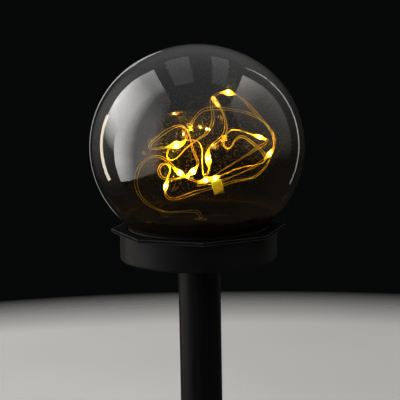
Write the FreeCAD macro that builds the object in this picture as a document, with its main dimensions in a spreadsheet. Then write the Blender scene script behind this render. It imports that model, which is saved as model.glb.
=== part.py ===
import FreeCAD, Part
import math
import os
import types

import Sketcher

# A solar stake light: a smoked globe with a string of lights inside, twisted onto a flanged base,
# on a plain pole with a ground spike. Millimetres and degrees. The origin is on the axis at the
# ground line, where the pole meets the spike, and +Z is up.

SIZES = {
    # Globe: a ball whose crown lies a little low, with its side arc centred off the axis, and a short neck
    "globe_radius": 50.0,
    "globe_crown_drop": 2.4,
    "globe_side_offset": 3.5,
    "globe_wall": 1.6,
    "neck_radius": 33.4,
    "neck_height": 1.3,
    "rim_gap": 0.1,
    # Twist lock between the globe's neck and the collar
    "lug_depth": 1.8,
    "lug_height": 1.6,
    "lug_lift": 0.3,
    "lug_angle": 14.0,
    "twist_angle": 25.0,
    "lug_slack": 0.3,
    "lug_slack_angle": 0.6,
    "neck_slack": 0.3,
    # Sealing ring under the globe's rim
    "seal_thickness": 0.8,
    "seal_width": 1.5,
    "seal_slack": 0.05,
    # Flanged base plate
    "plate_corner_radius": 41.0,
    "plate_thickness": 1.5,
    "collar_height": 6.9,
    "collar_wall": 4.0,
    "collar_round": 1.0,
    "deck_thickness": 2.4,
    "lip_depth": 1.6,
    "lip_wall": 1.2,
    "lip_slack": 0.1,
    # Cup under the plate, with a spigot that enters the pole
    "cup_radius": 37.1,
    "cup_draft": 0.1,
    "cup_height": 13.2,
    "cup_wall": 2.0,
    "cup_floor": 2.4,
    "cup_edge_round": 1.2,
    "spigot_length": 18.0,
    "spigot_wall": 2.0,
    "spigot_lead": 1.0,
    "shoulder_height": 0.8,
    "shoulder_inset": 0.9,
    # Screws that hold the cup to the plate
    "screw_circle": 29.8,
    "boss_radius": 3.0,
    "screw_radius": 1.1,
    "screw_length": 7.0,
    "screw_head_radius": 2.2,
    "screw_head_height": 1.0,
    "screw_head_bevel": 0.4,
    "screw_sink": 0.2,
    "screw_slack": 0.05,
    "pilot_spare": 1.0,
    # Solar panel in the deck
    "panel_width": 36.0,
    "panel_depth": 30.0,
    "panel_back": 4.0,
    "panel_sink": 1.2,
    "panel_slack": 0.2,
    "panel_board_thickness": 1.0,
    "cell_thickness": 0.2,
    "cell_margin": 1.5,
    "cell_gap": 0.5,
    "panel_cover_thickness": 0.6,
    # Grommet for the string
    "string_hole_y": -19.5,
    "grommet_radius": 2.0,
    "grommet_flange_radius": 2.8,
    "grommet_flange_height": 0.7,
    "grommet_slack": 0.05,
    # Light string
    "string_diameter": 0.9,
    "bead_length": 6.2,
    "bead_radius": 1.55,
    "bead_end_radius": 0.6,
    "end_seal_length": 6.4,
    "end_seal_radius": 1.1,
    "tape_width": 5.4,
    "tape_drop": 6.4,
    "tape_thickness": 1.3,
    # Battery across the front of the cup
    "battery_radius": 5.25,
    "battery_length": 43.6,
    "battery_nub_radius": 1.9,
    "battery_nub_height": 0.9,
    "battery_forward": 9.0,
    "cradle_slack": 0.3,
    "cradle_wall": 1.6,
    "cradle_height": 9.5,
    "cradle_rib_offset": 12.0,
    "contact_thickness": 0.4,
    "contact_width": 7.0,
    "contact_tab": 2.6,
    # Circuit board at the back of the cup, over the switch
    "board_width": 34.0,
    "board_depth": 15.0,
    "board_thickness": 1.2,
    "board_back": 15.5,
    "board_post_radius": 2.5,
    "board_post_offset": 13.5,
    "board_screw_radius": 0.9,
    "board_screw_length": 4.4,
    "board_screw_head_radius": 1.8,
    "board_screw_head_height": 1.1,
    "chip_width": 5.0,
    "chip_depth": 4.0,
    "chip_height": 1.5,
    "chip_offset": 7.5,
    "inductor_radius": 3.0,
    "inductor_height": 5.0,
    "inductor_offset": 7.5,
    # Inner wiring, soldered to pads along the front of the circuit board
    "lead_diameter": 1.2,
    "lead_bend": 4.0,
    "pad_inset": 1.5,
    "panel_pad_offset": 2.0,
    "string_pad_offset": 4.4,
    "battery_pad_offset": 14.2,
    # Slide switch
    "switch_width": 10.0,
    "switch_depth": 5.6,
    "switch_height": 4.6,
    "knob_width": 2.4,
    "knob_depth": 2.0,
    "knob_reach": 1.6,
    "knob_travel": 2.0,
    "knob_slack": 0.2,
    "knob_sink": 0.1,
    "finger_dish_width": 12.0,
    "finger_dish_depth": 7.0,
    "finger_dish_sink": 1.0,
    # Pole
    "pole_radius": 10.0,
    "pole_wall": 1.2,
    "pole_length": 145.0,
    "pole_edge": 0.3,
    "push_fit_slack": 0.08,
    # Ground spike
    "plug_length": 24.0,
    "plug_core_radius": 7.6,
    "plug_rib_angle": 14.0,
    "plug_rib_root": 0.8,
    "plug_rib_lead": 2.0,
    "spike_shoulder_height": 3.0,
    "spike_shoulder_inset": 0.1,
    "spike_length": 115.0,
    "spike_fin_reach": 9.4,
    "spike_fin_straight": 22.0,
    "spike_fin_thickness": 2.2,
    "spike_tip_width": 1.6,
}

LUG_COUNT = 3
SCREW_COUNT = 4
CELL_COUNT = 6
PLUG_RIB_COUNT = 6
PLATE_CORNERS = 8
SCREW_TURN = 45

# Share of the shorter run that each bend of a wire takes up
BEND_SHARE = 0.45
# Stretches of the string this many diameters apart along it are measured against each other
LOOP_DIAMETERS = 6
# What counts as nothing: a length, a cut's volume, a share of a volume
NO_LENGTH = 0.001
NO_VOLUME = 0.01
NO_SHARE = 0.01

LIGHT = "light"
TAPE = "tape"

# Route of the light string from the deck to the sealed end, drawn about the globe's centre.
# A light, or the tape, sits midway along the run that starts at the point marked with it.
STRING_ROUTE = [
    # Out of the deck and round the large loop on the left
    (0.0, -19.5, -30.2), (0.0, -19.5, -28.3), (-1.9, -19.4, -27.0), (-5.6, -19.2, -26.9),
    (-10.2, -18.9, -27.1), (-15.4, -18.3, -27.2), (-21.5, -17.2, -25.2), (-26.8, -15.8, -21.0),
    (-29.2, -14.4, -14.8), (-28.2, -13.0, -8.6), (-24.3, -12.0, -3.8), (-19.0, -11.0, -2.0),
    (-14.3, -10.0, -4.6), (-11.0, -9.2, -8.5, LIGHT), (-6.0, -8.6, -13.0),
    # Across to the right, back over the top of the right loop and into the first knot
    (0.6, -7.8, -16.0, LIGHT), (6.2, -7.2, -13.6), (12.5, -6.0, -9.8), (20.0, -4.4, -5.6),
    (27.5, -1.6, -1.6), (32.6, 2.6, 0.6), (34.4, 7.2, 1.2), (33.2, 11.0, 1.5, LIGHT),
    (28.4, 12.9, 2.9), (23.0, 13.2, 5.2), (18.5, 12.0, 6.5), (15.0, 10.2, 5.2),
    (12.9, 8.4, 2.2), (13.1, 6.8, -1.2), (15.2, 5.4, -2.3), (17.2, 4.3, -0.1),
    # Out of the knot, round the right once more and back to the middle
    (18.7, 3.7, 3.2), (22.0, 3.7, 4.1), (26.2, 4.7, 0.8), (30.6, 6.6, -2.9),
    (33.8, 9.6, -7.2), (32.8, 13.4, -10.4), (28.0, 15.2, -11.7), (22.6, 14.8, -12.3),
    (17.0, 12.8, -13.7), (11.6, 10.3, -15.7, LIGHT), (6.4, 7.7, -17.5), (1.6, 4.6, -18.9),
    # Turn back to the right, up the side and over to the second knot
    (-0.6, 1.0, -18.4), (1.6, -2.4, -17.4), (6.4, -3.9, -16.9, TAPE), (12.6, -3.4, -15.3),
    (20.0, -1.9, -12.9), (27.0, -0.3, -10.0), (32.6, 0.8, -6.4, LIGHT), (36.4, 1.2, -1.8),
    (37.0, 0.9, 3.8), (33.8, 0.0, 8.8), (28.8, -1.1, 12.9), (22.4, -2.2, 16.0),
    (15.4, -3.4, 17.4), (8.0, -4.6, 18.4), (2.6, -5.4, 17.8), (-1.0, -5.6, 14.4),
    (-3.7, -5.0, 9.6), (-4.7, -4.1, 4.9),
    # Left through the large light, round and back to the second knot, then down
    (-6.8, -3.4, 1.6, LIGHT), (-12.6, -2.6, 0.6), (-18.0, -1.5, -0.3), (-21.8, 1.6, -0.9),
    (-22.2, 5.4, 0.6), (-18.8, 7.8, 3.3), (-14.2, 7.9, 6.7), (-9.6, 6.3, 9.3),
    (-5.4, 4.2, 9.3), (-3.2, 2.4, 5.8), (-2.6, 1.2, 0.9), (-1.0, 0.2, -4.2),
    (0.5, -0.9, -7.2), (-0.3, -2.4, -9.5, LIGHT), (-4.4, -4.2, -12.8),
    # Small loop on the left and the low light
    (-8.8, -4.4, -14.1), (-12.9, -3.6, -14.8), (-16.4, -2.5, -14.2), (-18.4, -1.2, -11.5),
    (-17.6, 0.2, -8.5), (-14.7, 1.4, -7.6), (-12.5, 2.3, -9.6), (-13.0, 2.6, -12.6),
    (-14.4, 2.2, -15.6, LIGHT), (-15.6, 1.3, -21.0), (-14.6, 0.6, -23.9), (-11.4, 0.1, -24.9),
    # Low across to the right, up the side in front and over the top light
    (-6.4, 0.4, -23.5), (-0.6, 1.4, -21.6), (5.2, 2.5, -20.6), (11.2, 3.4, -19.4),
    (17.4, 3.4, -17.3), (23.2, 1.9, -16.4), (28.2, -0.7, -14.4), (32.0, -3.6, -9.6),
    (34.5, -5.4, -3.9), (35.6, -6.2, 2.0), (33.9, -6.6, 8.0), (29.6, -6.7, 13.0),
    (25.2, -6.5, 17.8), (21.0, -6.6, 22.2), (17.2, -6.5, 25.0, LIGHT), (11.4, -6.6, 25.9),
    # Down to the left in front, a tight turn, then the upright light and the sealed end
    (7.4, -6.8, 24.0), (6.2, -7.6, 20.0), (7.3, -8.6, 15.6), (6.8, -9.2, 10.8),
    (3.8, -9.3, 6.8), (-0.9, -9.1, 4.0), (-5.6, -9.0, 0.6), (-9.2, -8.4, -3.6),
    (-12.3, -7.3, -5.5), (-14.6, -6.2, -3.7), (-13.8, -5.7, -0.4), (-10.2, -6.4, 2.4),
    (-5.0, -6.9, 4.1), (-0.2, -6.1, 3.9), (2.2, -5.1, 0.2), (2.0, -4.5, -5.2),
    (2.1, -3.3, -10.4), (2.7, -1.4, -13.4), (4.0, 0.7, -14.2), (5.3, 2.6, -12.3),
    (5.7, 3.5, -9.4, LIGHT), (4.8, 3.6, -3.6), (6.8, 3.6, 0.2), (10.6, 3.3, 2.3),
    (13.2, 2.4, 5.3), (14.0, 1.3, 9.5), (13.1, 0.1, 13.9), (10.9, -0.9, 18.4),
    (7.8, -1.9, 22.6),
]
STRING_POINTS = [point[:3] for point in STRING_ROUTE]


class Size:
    """A length or an angle: its number, and the sheet formula that gives it."""

    def __init__(self, number, formula):
        self.number = float(number)
        self.formula = formula

    def joined(self, sign, other, number):
        return Size(number, f"({self.formula} {sign} {other.formula})")

    def __add__(self, other):
        other = as_size(other)
        return self.joined("+", other, self.number + other.number)

    def __sub__(self, other):
        other = as_size(other)
        return self.joined("-", other, self.number - other.number)

    def __mul__(self, other):
        other = as_size(other)
        return self.joined("*", other, self.number * other.number)

    def __truediv__(self, other):
        other = as_size(other)
        return self.joined("/", other, self.number / other.number)

    def __neg__(self):
        return Size(-self.number, f"(0 - {self.formula})")


def as_size(value):
    if isinstance(value, Size):
        return value
    return Size(value, repr(float(value)))


def square_root(size):
    return Size(math.sqrt(size.number), f"sqrt({size.formula})")


doc = FreeCAD.newDocument("solar_stake_light")
sheet = doc.addObject("Spreadsheet::Sheet", "Sizes")
for row, (name, value) in enumerate(SIZES.items(), start=1):
    sheet.set(f"A{row}", name.replace("_", " "))
    sheet.set(f"B{row}", str(value))
    sheet.setAlias(f"B{row}", name)
doc.recompute()
dim = types.SimpleNamespace(**{name: Size(sheet.get(name), f"Sizes.{name}") for name in SIZES})

# The globe's centre stands over its rim by the neck and by the side arc's fall to the neck
globe_side_radius = dim.globe_radius - dim.globe_side_offset
neck_reach = dim.neck_radius - dim.globe_side_offset
side_fall = square_root(globe_side_radius * globe_side_radius - neck_reach * neck_reach)
globe_crown = dim.globe_radius - dim.globe_crown_drop
rim_height = dim.seal_thickness + dim.rim_gap
globe_rise = dim.neck_height + side_fall

# Heights on the axis, built up from the ground line
cup_level = dim.pole_length + dim.shoulder_height
plate_level = cup_level + dim.cup_height
deck_level = plate_level + dim.plate_thickness + dim.collar_height
deck_under_level = deck_level - dim.deck_thickness
globe_level = plate_level + dim.plate_thickness + rim_height + globe_rise
floor_level = cup_level + dim.cup_floor
board_level = floor_level + dim.switch_height
board_top_level = board_level + dim.board_thickness
battery_level = floor_level + dim.cradle_slack + dim.battery_radius
panel_level = deck_level - dim.panel_sink
string_level = deck_level + dim.grommet_flange_height - STRING_POINTS[0][2]

# Radii that several pieces share
neck_bore = dim.neck_radius - dim.globe_wall
collar_radius = neck_bore - dim.neck_slack
collar_bore = collar_radius - dim.collar_wall
cup_bore = dim.cup_radius - dim.cup_wall
pole_bore = dim.pole_radius - dim.pole_wall
push_fit_radius = pole_bore - dim.push_fit_slack
slot_length = dim.knob_width + dim.knob_travel + dim.knob_slack * 2
slot_width = dim.knob_depth + dim.knob_slack * 2
battery_span = dim.battery_length + dim.battery_nub_height
cradle_inside = battery_span / 2 + dim.contact_thickness
screw_place = dim.screw_circle * math.sqrt(0.5)
lead_way_y = dim.panel_back + dim.panel_depth / 4
string_back = dim.string_hole_y - STRING_POINTS[0][1]

pieces = []


def bind(item, prop, value):
    item.setExpression(prop, as_size(value).formula)


def new_body(label, level=None, turn=None):
    """A body whose own origin is on the axis, raised to its level and turned about the axis."""
    body = doc.addObject("PartDesign::Body", label)
    body.Label = label
    if level is not None:
        bind(body, "Placement.Base.z", level)
    if turn is not None:
        body.Placement.Rotation = FreeCAD.Rotation(FreeCAD.Vector(0, 0, 1), turn.number)
        bind(body, "Placement.Rotation.Angle", turn)
    pieces.append(body)
    return body


def origin_feature(body, role):
    return next(item for item in body.Origin.OriginFeatures if item.Role == role)


def new_sketch(body, name, role="XY_Plane", lift=None, shift=None):
    sketch = body.newObject("Sketcher::SketchObject", f"{body.Name}_{name}")
    sketch.AttachmentSupport = [(origin_feature(body, role), "")]
    sketch.MapMode = "FlatFace"
    if lift is not None:
        bind(sketch, "AttachmentOffset.Base.z", lift)
    if shift is not None:
        bind(sketch, "AttachmentOffset.Base.x", shift)
    return sketch


def set_datum(sketch, kind, items, value):
    value = as_size(value)
    index = sketch.addConstraint(Sketcher.Constraint(kind, *items, value.number))
    sketch.setExpression(f"Constraints[{index}]", value.formula)


def fix_point(sketch, item, end, x, y):
    """Hold one point of the sketch at its distances from the sketch's origin."""
    for kind, axis, value in (("DistanceX", -2, x), ("DistanceY", -1, y)):
        if value == 0:
            sketch.addConstraint(Sketcher.Constraint("PointOnObject", item, end, axis))
        else:
            set_datum(sketch, kind, (-1, 1, item, end), value)


def add_outline(sketch, points):
    """A closed outline of straight lines through the points."""
    spots = [FreeCAD.Vector(as_size(x).number, as_size(y).number, 0) for x, y in points]
    count = len(points)
    first = sketch.GeometryCount
    for index in range(count):
        sketch.addGeometry(Part.LineSegment(spots[index], spots[(index + 1) % count]))
    for index in range(count):
        after = first + (index + 1) % count
        sketch.addConstraint(Sketcher.Constraint("Coincident", first + index, 2, after, 1))
    for index, (x, y) in enumerate(points):
        fix_point(sketch, first + index, 1, x, y)


def add_rectangle(sketch, x, y, width, depth):
    """A rectangle about the point x, y."""
    left = as_size(x) - width / 2
    right = as_size(x) + width / 2
    low = as_size(y) - depth / 2
    high = as_size(y) + depth / 2
    add_outline(sketch, [(left, low), (right, low), (right, high), (left, high)])


def add_circle(sketch, radius, x=0, y=0):
    centre = FreeCAD.Vector(as_size(x).number, as_size(y).number, 0)
    item = sketch.addGeometry(Part.Circle(centre, FreeCAD.Vector(0, 0, 1), radius.number))
    fix_point(sketch, item, 3, x, y)
    set_datum(sketch, "Radius", (item,), radius)


def pad(body, sketch, length, down=False, middle=False):
    feature = body.newObject("PartDesign::Pad", f"{sketch.Name}_pad")
    feature.Profile = sketch
    bind(feature, "Length", length)
    feature.Reversed = down
    if middle:
        feature.SideType = "Symmetric"
    doc.recompute()
    return feature


def pocket(body, sketch, depth, up=False, middle=False):
    before = body.Tip.Shape.Volume
    feature = body.newObject("PartDesign::Pocket", f"{sketch.Name}_pocket")
    feature.Profile = sketch
    bind(feature, "Length", depth)
    feature.Reversed = up
    if middle:
        feature.SideType = "Symmetric"
    doc.recompute()
    check_cut(feature, before)
    return feature


def revolve(body, sketch, angle=None, middle=False):
    feature = body.newObject("PartDesign::Revolution", f"{sketch.Name}_revolution")
    feature.Profile = sketch
    feature.ReferenceAxis = (sketch, ["V_Axis"])
    if angle is not None:
        bind(feature, "Angle", angle)
    feature.Midplane = middle
    doc.recompute()
    return feature


def groove(body, sketch, angle):
    """A cut turned clockwise, seen from above, from the sketch's plane."""
    before = body.Tip.Shape.Volume
    feature = body.newObject("PartDesign::Groove", f"{sketch.Name}_groove")
    feature.Profile = sketch
    feature.ReferenceAxis = (sketch, ["V_Axis"])
    bind(feature, "Angle", angle)
    feature.Reversed = True
    doc.recompute()
    check_cut(feature, before)
    return feature


def check_cut(feature, before):
    if feature.Shape.Volume > before - NO_VOLUME:
        raise RuntimeError(f"{feature.Name} cuts nothing")


def repeat_round(body, features, count):
    """Equal copies of the features about the body's upright axis."""
    pattern = body.newObject("PartDesign::PolarPattern", f"{features[0].Name}_round")
    pattern.Originals = features
    pattern.Axis = (origin_feature(body, "Z_Axis"), [""])
    pattern.Angle = 360
    pattern.Occurrences = count
    body.Tip = pattern
    doc.recompute()
    return pattern


def ring_edges(feature, radius, height):
    """Names of the feature's round edges of this radius at this height."""
    names = []
    for index, edge in enumerate(feature.Shape.Edges, start=1):
        if not isinstance(edge.Curve, Part.Circle):
            continue
        same_radius = abs(edge.Curve.Radius - radius.number) < NO_LENGTH
        same_height = abs(edge.Curve.Center.z - as_size(height).number) < NO_LENGTH
        if same_radius and same_height:
            names.append(f"Edge{index}")
    if not names:
        raise RuntimeError(f"{feature.Name} has no such edge")
    return names


def round_edges(body, feature, names, radius):
    fillet = body.newObject("PartDesign::Fillet", f"{feature.Name}_fillet")
    fillet.Base = (feature, names)
    bind(fillet, "Radius", radius)
    doc.recompute()
    return fillet


def bevel_edges(body, feature, names, size):
    chamfer = body.newObject("PartDesign::Chamfer", f"{feature.Name}_chamfer")
    chamfer.Base = (feature, names)
    bind(chamfer, "Size", size)
    doc.recompute()
    return chamfer


def new_shape(label, shapes, level, back=0):
    """A piece made from shapes that no sketch gives, raised to its level and moved back."""
    item = doc.addObject("Part::Feature", label)
    item.Label = label
    item.Shape = Part.makeCompound(shapes)
    item.Placement = FreeCAD.Placement()
    bind(item, "Placement.Base.z", level)
    bind(item, "Placement.Base.y", back)
    pieces.append(item)
    return item


def new_primitive(kind, label, sizes, place):
    """A box or cylinder with its sizes and place tied to the sheet."""
    item = doc.addObject(kind, label)
    item.Label = label
    for prop, value in sizes.items():
        bind(item, prop, value)
    for axis, value in zip("xyz", place):
        bind(item, f"Placement.Base.{axis}", value)
    pieces.append(item)
    return item


def rounded_path(points):
    """Straight runs joined by tangent arcs, each as large as its two runs allow."""
    spots = [FreeCAD.Vector(*point) for point in points]
    runs = [after - before for before, after in zip(spots, spots[1:])]
    edges = []
    radii = []
    start = spots[0]
    for corner, run, after in zip(spots[1:], runs, runs[1:]):
        inward = FreeCAD.Vector(run).normalize()
        outward = FreeCAD.Vector(after).normalize()
        half_turn = inward.getAngle(outward) / 2
        reach = BEND_SHARE * min(run.Length, after.Length)
        radius = reach / math.tan(half_turn)
        arc_start = corner - inward * reach
        arc_end = corner + outward * reach
        side = (outward - inward).normalize()
        arc_middle = corner + side * (radius / math.cos(half_turn) - radius)
        edges.append(Part.LineSegment(start, arc_start).toShape())
        edges.append(Part.Arc(arc_start, arc_middle, arc_end).toShape())
        radii.append(radius)
        start = arc_end
    edges.append(Part.LineSegment(start, spots[-1]).toShape())
    return Part.Wire(edges), radii


def tube_along(name, points, diameter):
    """A round wire along the points, with its volume compared with section times length."""
    path, radii = rounded_path(points)
    start = FreeCAD.Vector(*points[0])
    heading = FreeCAD.Vector(*points[1]) - start
    section = Part.Wire(Part.Circle(start, heading, diameter / 2).toShape())
    tube = path.makePipeShell([section], True, False)
    share = tube.Volume / (math.pi * diameter ** 2 / 4 * path.Length)
    print(f"{name}: length {path.Length:.1f}, least radius {min(radii):.2f}, volume share {share:.4f}")
    if abs(share - 1) > NO_SHARE:
        raise RuntimeError(f"{name} is not a plain tube")
    return tube, path


def least_gap(path, diameter, apart):
    """Least distance between the wire's surfaces at stretches further apart than this along it."""
    step = diameter / 2
    spots = path.discretize(Distance=step)
    skip = int(apart / step)
    nearest = min(
        spot.distanceToPoint(other)
        for index, spot in enumerate(spots)
        for other in spots[index + skip:]
    )
    return nearest - diameter


def run_placement(points, index):
    """Midway along a run of the route, with +Z along it."""
    start = FreeCAD.Vector(*points[index])
    end = FreeCAD.Vector(*points[index + 1])
    turn = FreeCAD.Rotation(FreeCAD.Vector(0, 0, 1), end - start)
    return FreeCAD.Placement((start + end) / 2, turn)


def marked_runs(mark):
    """Numbers of the string's runs that carry this mark."""
    return [index for index, point in enumerate(STRING_ROUTE) if point[3:] == (mark,)]


def make_globe():
    unlock_turn = dim.lug_angle / 2 + dim.lug_slack_angle + dim.twist_angle
    body = new_body("globe", globe_level, -unlock_turn)
    rim = -globe_rise
    sketch = new_sketch(body, "profile", "XZ_Plane")

    # The crown's arc touches the side's arc, so its centre follows from the two heights
    offset = dim.globe_side_offset.number
    rise = (globe_crown - globe_side_radius).number
    drop = (offset ** 2 - rise ** 2) / (2 * rise)
    join_angle = math.atan2(drop, offset)
    up = FreeCAD.Vector(0, 0, 1)
    arcs = {}
    for face, inset in (("outer", 0.0), ("inner", dim.globe_wall.number)):
        crown_radius = globe_crown.number + drop - inset
        side_radius = globe_side_radius.number - inset
        neck_angle = -math.acos((dim.neck_radius.number - inset - offset) / side_radius)
        crown = Part.Circle(FreeCAD.Vector(0, -drop, 0), up, crown_radius)
        side = Part.Circle(FreeCAD.Vector(offset, 0, 0), up, side_radius)
        crown_item = sketch.addGeometry(Part.ArcOfCircle(crown, join_angle, math.pi / 2))
        side_item = sketch.addGeometry(Part.ArcOfCircle(side, neck_angle, join_angle))
        arcs[face] = (crown_item, side_item)
    outer_crown, outer_side = arcs["outer"]
    inner_crown, inner_side = arcs["inner"]

    def spot(item, end):
        return sketch.getPoint(item, end)

    outer_rim = FreeCAD.Vector(dim.neck_radius.number, rim.number, 0)
    inner_rim = FreeCAD.Vector(neck_bore.number, rim.number, 0)
    outer_neck = sketch.addGeometry(Part.LineSegment(spot(outer_side, 1), outer_rim))
    rim_line = sketch.addGeometry(Part.LineSegment(outer_rim, inner_rim))
    inner_neck = sketch.addGeometry(Part.LineSegment(inner_rim, spot(inner_side, 1)))
    top_line = sketch.addGeometry(Part.LineSegment(spot(inner_crown, 2), spot(outer_crown, 2)))
    rules = [
        ("Tangent", outer_side, 2, outer_crown, 1),
        ("Tangent", inner_side, 2, inner_crown, 1),
        ("Coincident", outer_side, 1, outer_neck, 1),
        ("Coincident", outer_neck, 2, rim_line, 1),
        ("Coincident", rim_line, 2, inner_neck, 1),
        ("Coincident", inner_neck, 2, inner_side, 1),
        ("Coincident", inner_crown, 2, top_line, 1),
        ("Coincident", outer_crown, 2, top_line, 2),
        ("Coincident", inner_crown, 3, outer_crown, 3),
        ("Coincident", inner_side, 3, outer_side, 3),
        ("PointOnObject", outer_crown, 3, -2),
        ("PointOnObject", outer_crown, 2, -2),
        ("PointOnObject", inner_crown, 2, -2),
        ("PointOnObject", outer_side, 3, -1),
        ("Vertical", outer_neck),
        ("Vertical", inner_neck),
        ("Horizontal", rim_line),
    ]
    for rule in rules:
        sketch.addConstraint(Sketcher.Constraint(*rule))
    set_datum(sketch, "DistanceX", (-1, 1, outer_side, 3), dim.globe_side_offset)
    set_datum(sketch, "Radius", (outer_side,), globe_side_radius)
    set_datum(sketch, "Radius", (inner_side,), globe_side_radius - dim.globe_wall)
    set_datum(sketch, "DistanceY", (-1, 1, outer_crown, 2), globe_crown)
    set_datum(sketch, "DistanceX", (-1, 1, outer_neck, 2), dim.neck_radius)
    set_datum(sketch, "DistanceX", (-1, 1, inner_neck, 1), neck_bore)
    set_datum(sketch, "DistanceY", (-1, 1, outer_neck, 2), rim)
    revolve(body, sketch)

    # Lugs that stand inwards from the neck
    lug = new_sketch(body, "lug", "XZ_Plane")
    lug_low = rim + dim.lug_lift
    lug_high = lug_low + dim.lug_height
    lug_inside = neck_bore - dim.lug_depth
    lug_root = neck_bore + dim.globe_wall / 2
    add_outline(
        lug,
        [(lug_inside, lug_low), (lug_root, lug_low), (lug_root, lug_high), (lug_inside, lug_high)],
    )
    lug_solid = revolve(body, lug, dim.lug_angle, middle=True)
    repeat_round(body, [lug_solid], LUG_COUNT)


def make_globe_seal():
    body = new_body("globe_seal", plate_level + dim.plate_thickness)
    sketch = new_sketch(body, "ring")
    add_circle(sketch, collar_radius + dim.seal_slack)
    add_circle(sketch, collar_radius + dim.seal_slack + dim.seal_width)
    pad(body, sketch, dim.seal_thickness)


def make_base_plate():
    body = new_body("base_plate", plate_level)
    deck_top = dim.plate_thickness + dim.collar_height
    flange = new_sketch(body, "flange")
    corners = []
    for index in range(PLATE_CORNERS):
        angle = 2 * math.pi * index / PLATE_CORNERS
        corner = [dim.plate_corner_radius * part for part in (math.cos(angle), math.sin(angle))]
        corners.append([size if abs(size.number) > NO_LENGTH else 0 for size in corner])
    add_outline(flange, corners)
    pad(body, flange, dim.plate_thickness)

    collar = new_sketch(body, "collar")
    add_circle(collar, collar_radius)
    collar_solid = pad(body, collar, deck_top)
    names = ring_edges(collar_solid, collar_radius, deck_top)
    round_edges(body, collar_solid, names, dim.collar_round)
    hollow = new_sketch(body, "hollow")
    add_circle(hollow, collar_bore)
    pocket(body, hollow, deck_top - dim.deck_thickness, up=True)

    # Lip that drops into the cup, and the screw bosses that stand on the cup's floor
    lip = new_sketch(body, "lip")
    lip_radius = cup_bore - dim.lip_slack
    add_circle(lip, lip_radius)
    add_circle(lip, lip_radius - dim.lip_wall)
    pad(body, lip, dim.lip_depth, down=True)
    boss_length = dim.cup_height - dim.cup_floor
    boss = new_sketch(body, "boss")
    add_circle(boss, dim.boss_radius, screw_place, screw_place)
    boss_solid = pad(body, boss, boss_length, down=True)
    pilot = new_sketch(body, "pilot", lift=-boss_length)
    add_circle(pilot, dim.screw_radius + dim.screw_slack, screw_place, screw_place)
    pilot_cut = pocket(body, pilot, dim.screw_length + dim.pilot_spare, up=True)
    repeat_round(body, [boss_solid, pilot_cut], SCREW_COUNT)

    # Seat of the solar panel, with a way down for its leads, and the string's hole
    seat = new_sketch(body, "panel_seat", lift=deck_top)
    seat_width = dim.panel_width + dim.panel_slack * 2
    seat_depth = dim.panel_depth + dim.panel_slack * 2
    add_rectangle(seat, 0, dim.panel_back, seat_width, seat_depth)
    pocket(body, seat, dim.panel_sink)
    lead_way = new_sketch(body, "lead_way", lift=deck_top)
    add_circle(lead_way, dim.lead_diameter * 2, 0, lead_way_y)
    pocket(body, lead_way, dim.deck_thickness)
    string_way = new_sketch(body, "string_way", lift=deck_top)
    add_circle(string_way, dim.grommet_radius + dim.grommet_slack, 0, dim.string_hole_y)
    pocket(body, string_way, dim.deck_thickness)

    # Twist lock: a level track for each lug, and its way in from above
    track = new_sketch(body, "track", "XZ_Plane")
    track_low = dim.plate_thickness + rim_height + dim.lug_lift - dim.lug_slack
    track_high = track_low + dim.lug_height + dim.lug_slack * 2
    track_inside = collar_radius + dim.neck_slack - dim.lug_depth - dim.lug_slack
    past_wall = collar_radius + dim.neck_slack
    add_outline(
        track,
        [
            (track_inside, track_low),
            (past_wall, track_low),
            (past_wall, track_high),
            (track_inside, track_high),
        ],
    )
    entry_angle = dim.lug_angle + dim.lug_slack_angle * 2
    track_cut = groove(body, track, entry_angle + dim.twist_angle)
    entry = new_sketch(body, "entry", "XZ_Plane")
    above_deck = deck_top + dim.lug_slack
    add_outline(
        entry,
        [
            (track_inside, track_low),
            (past_wall, track_low),
            (past_wall, above_deck),
            (track_inside, above_deck),
        ],
    )
    entry_cut = groove(body, entry, entry_angle)
    repeat_round(body, [track_cut, entry_cut], LUG_COUNT)


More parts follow.
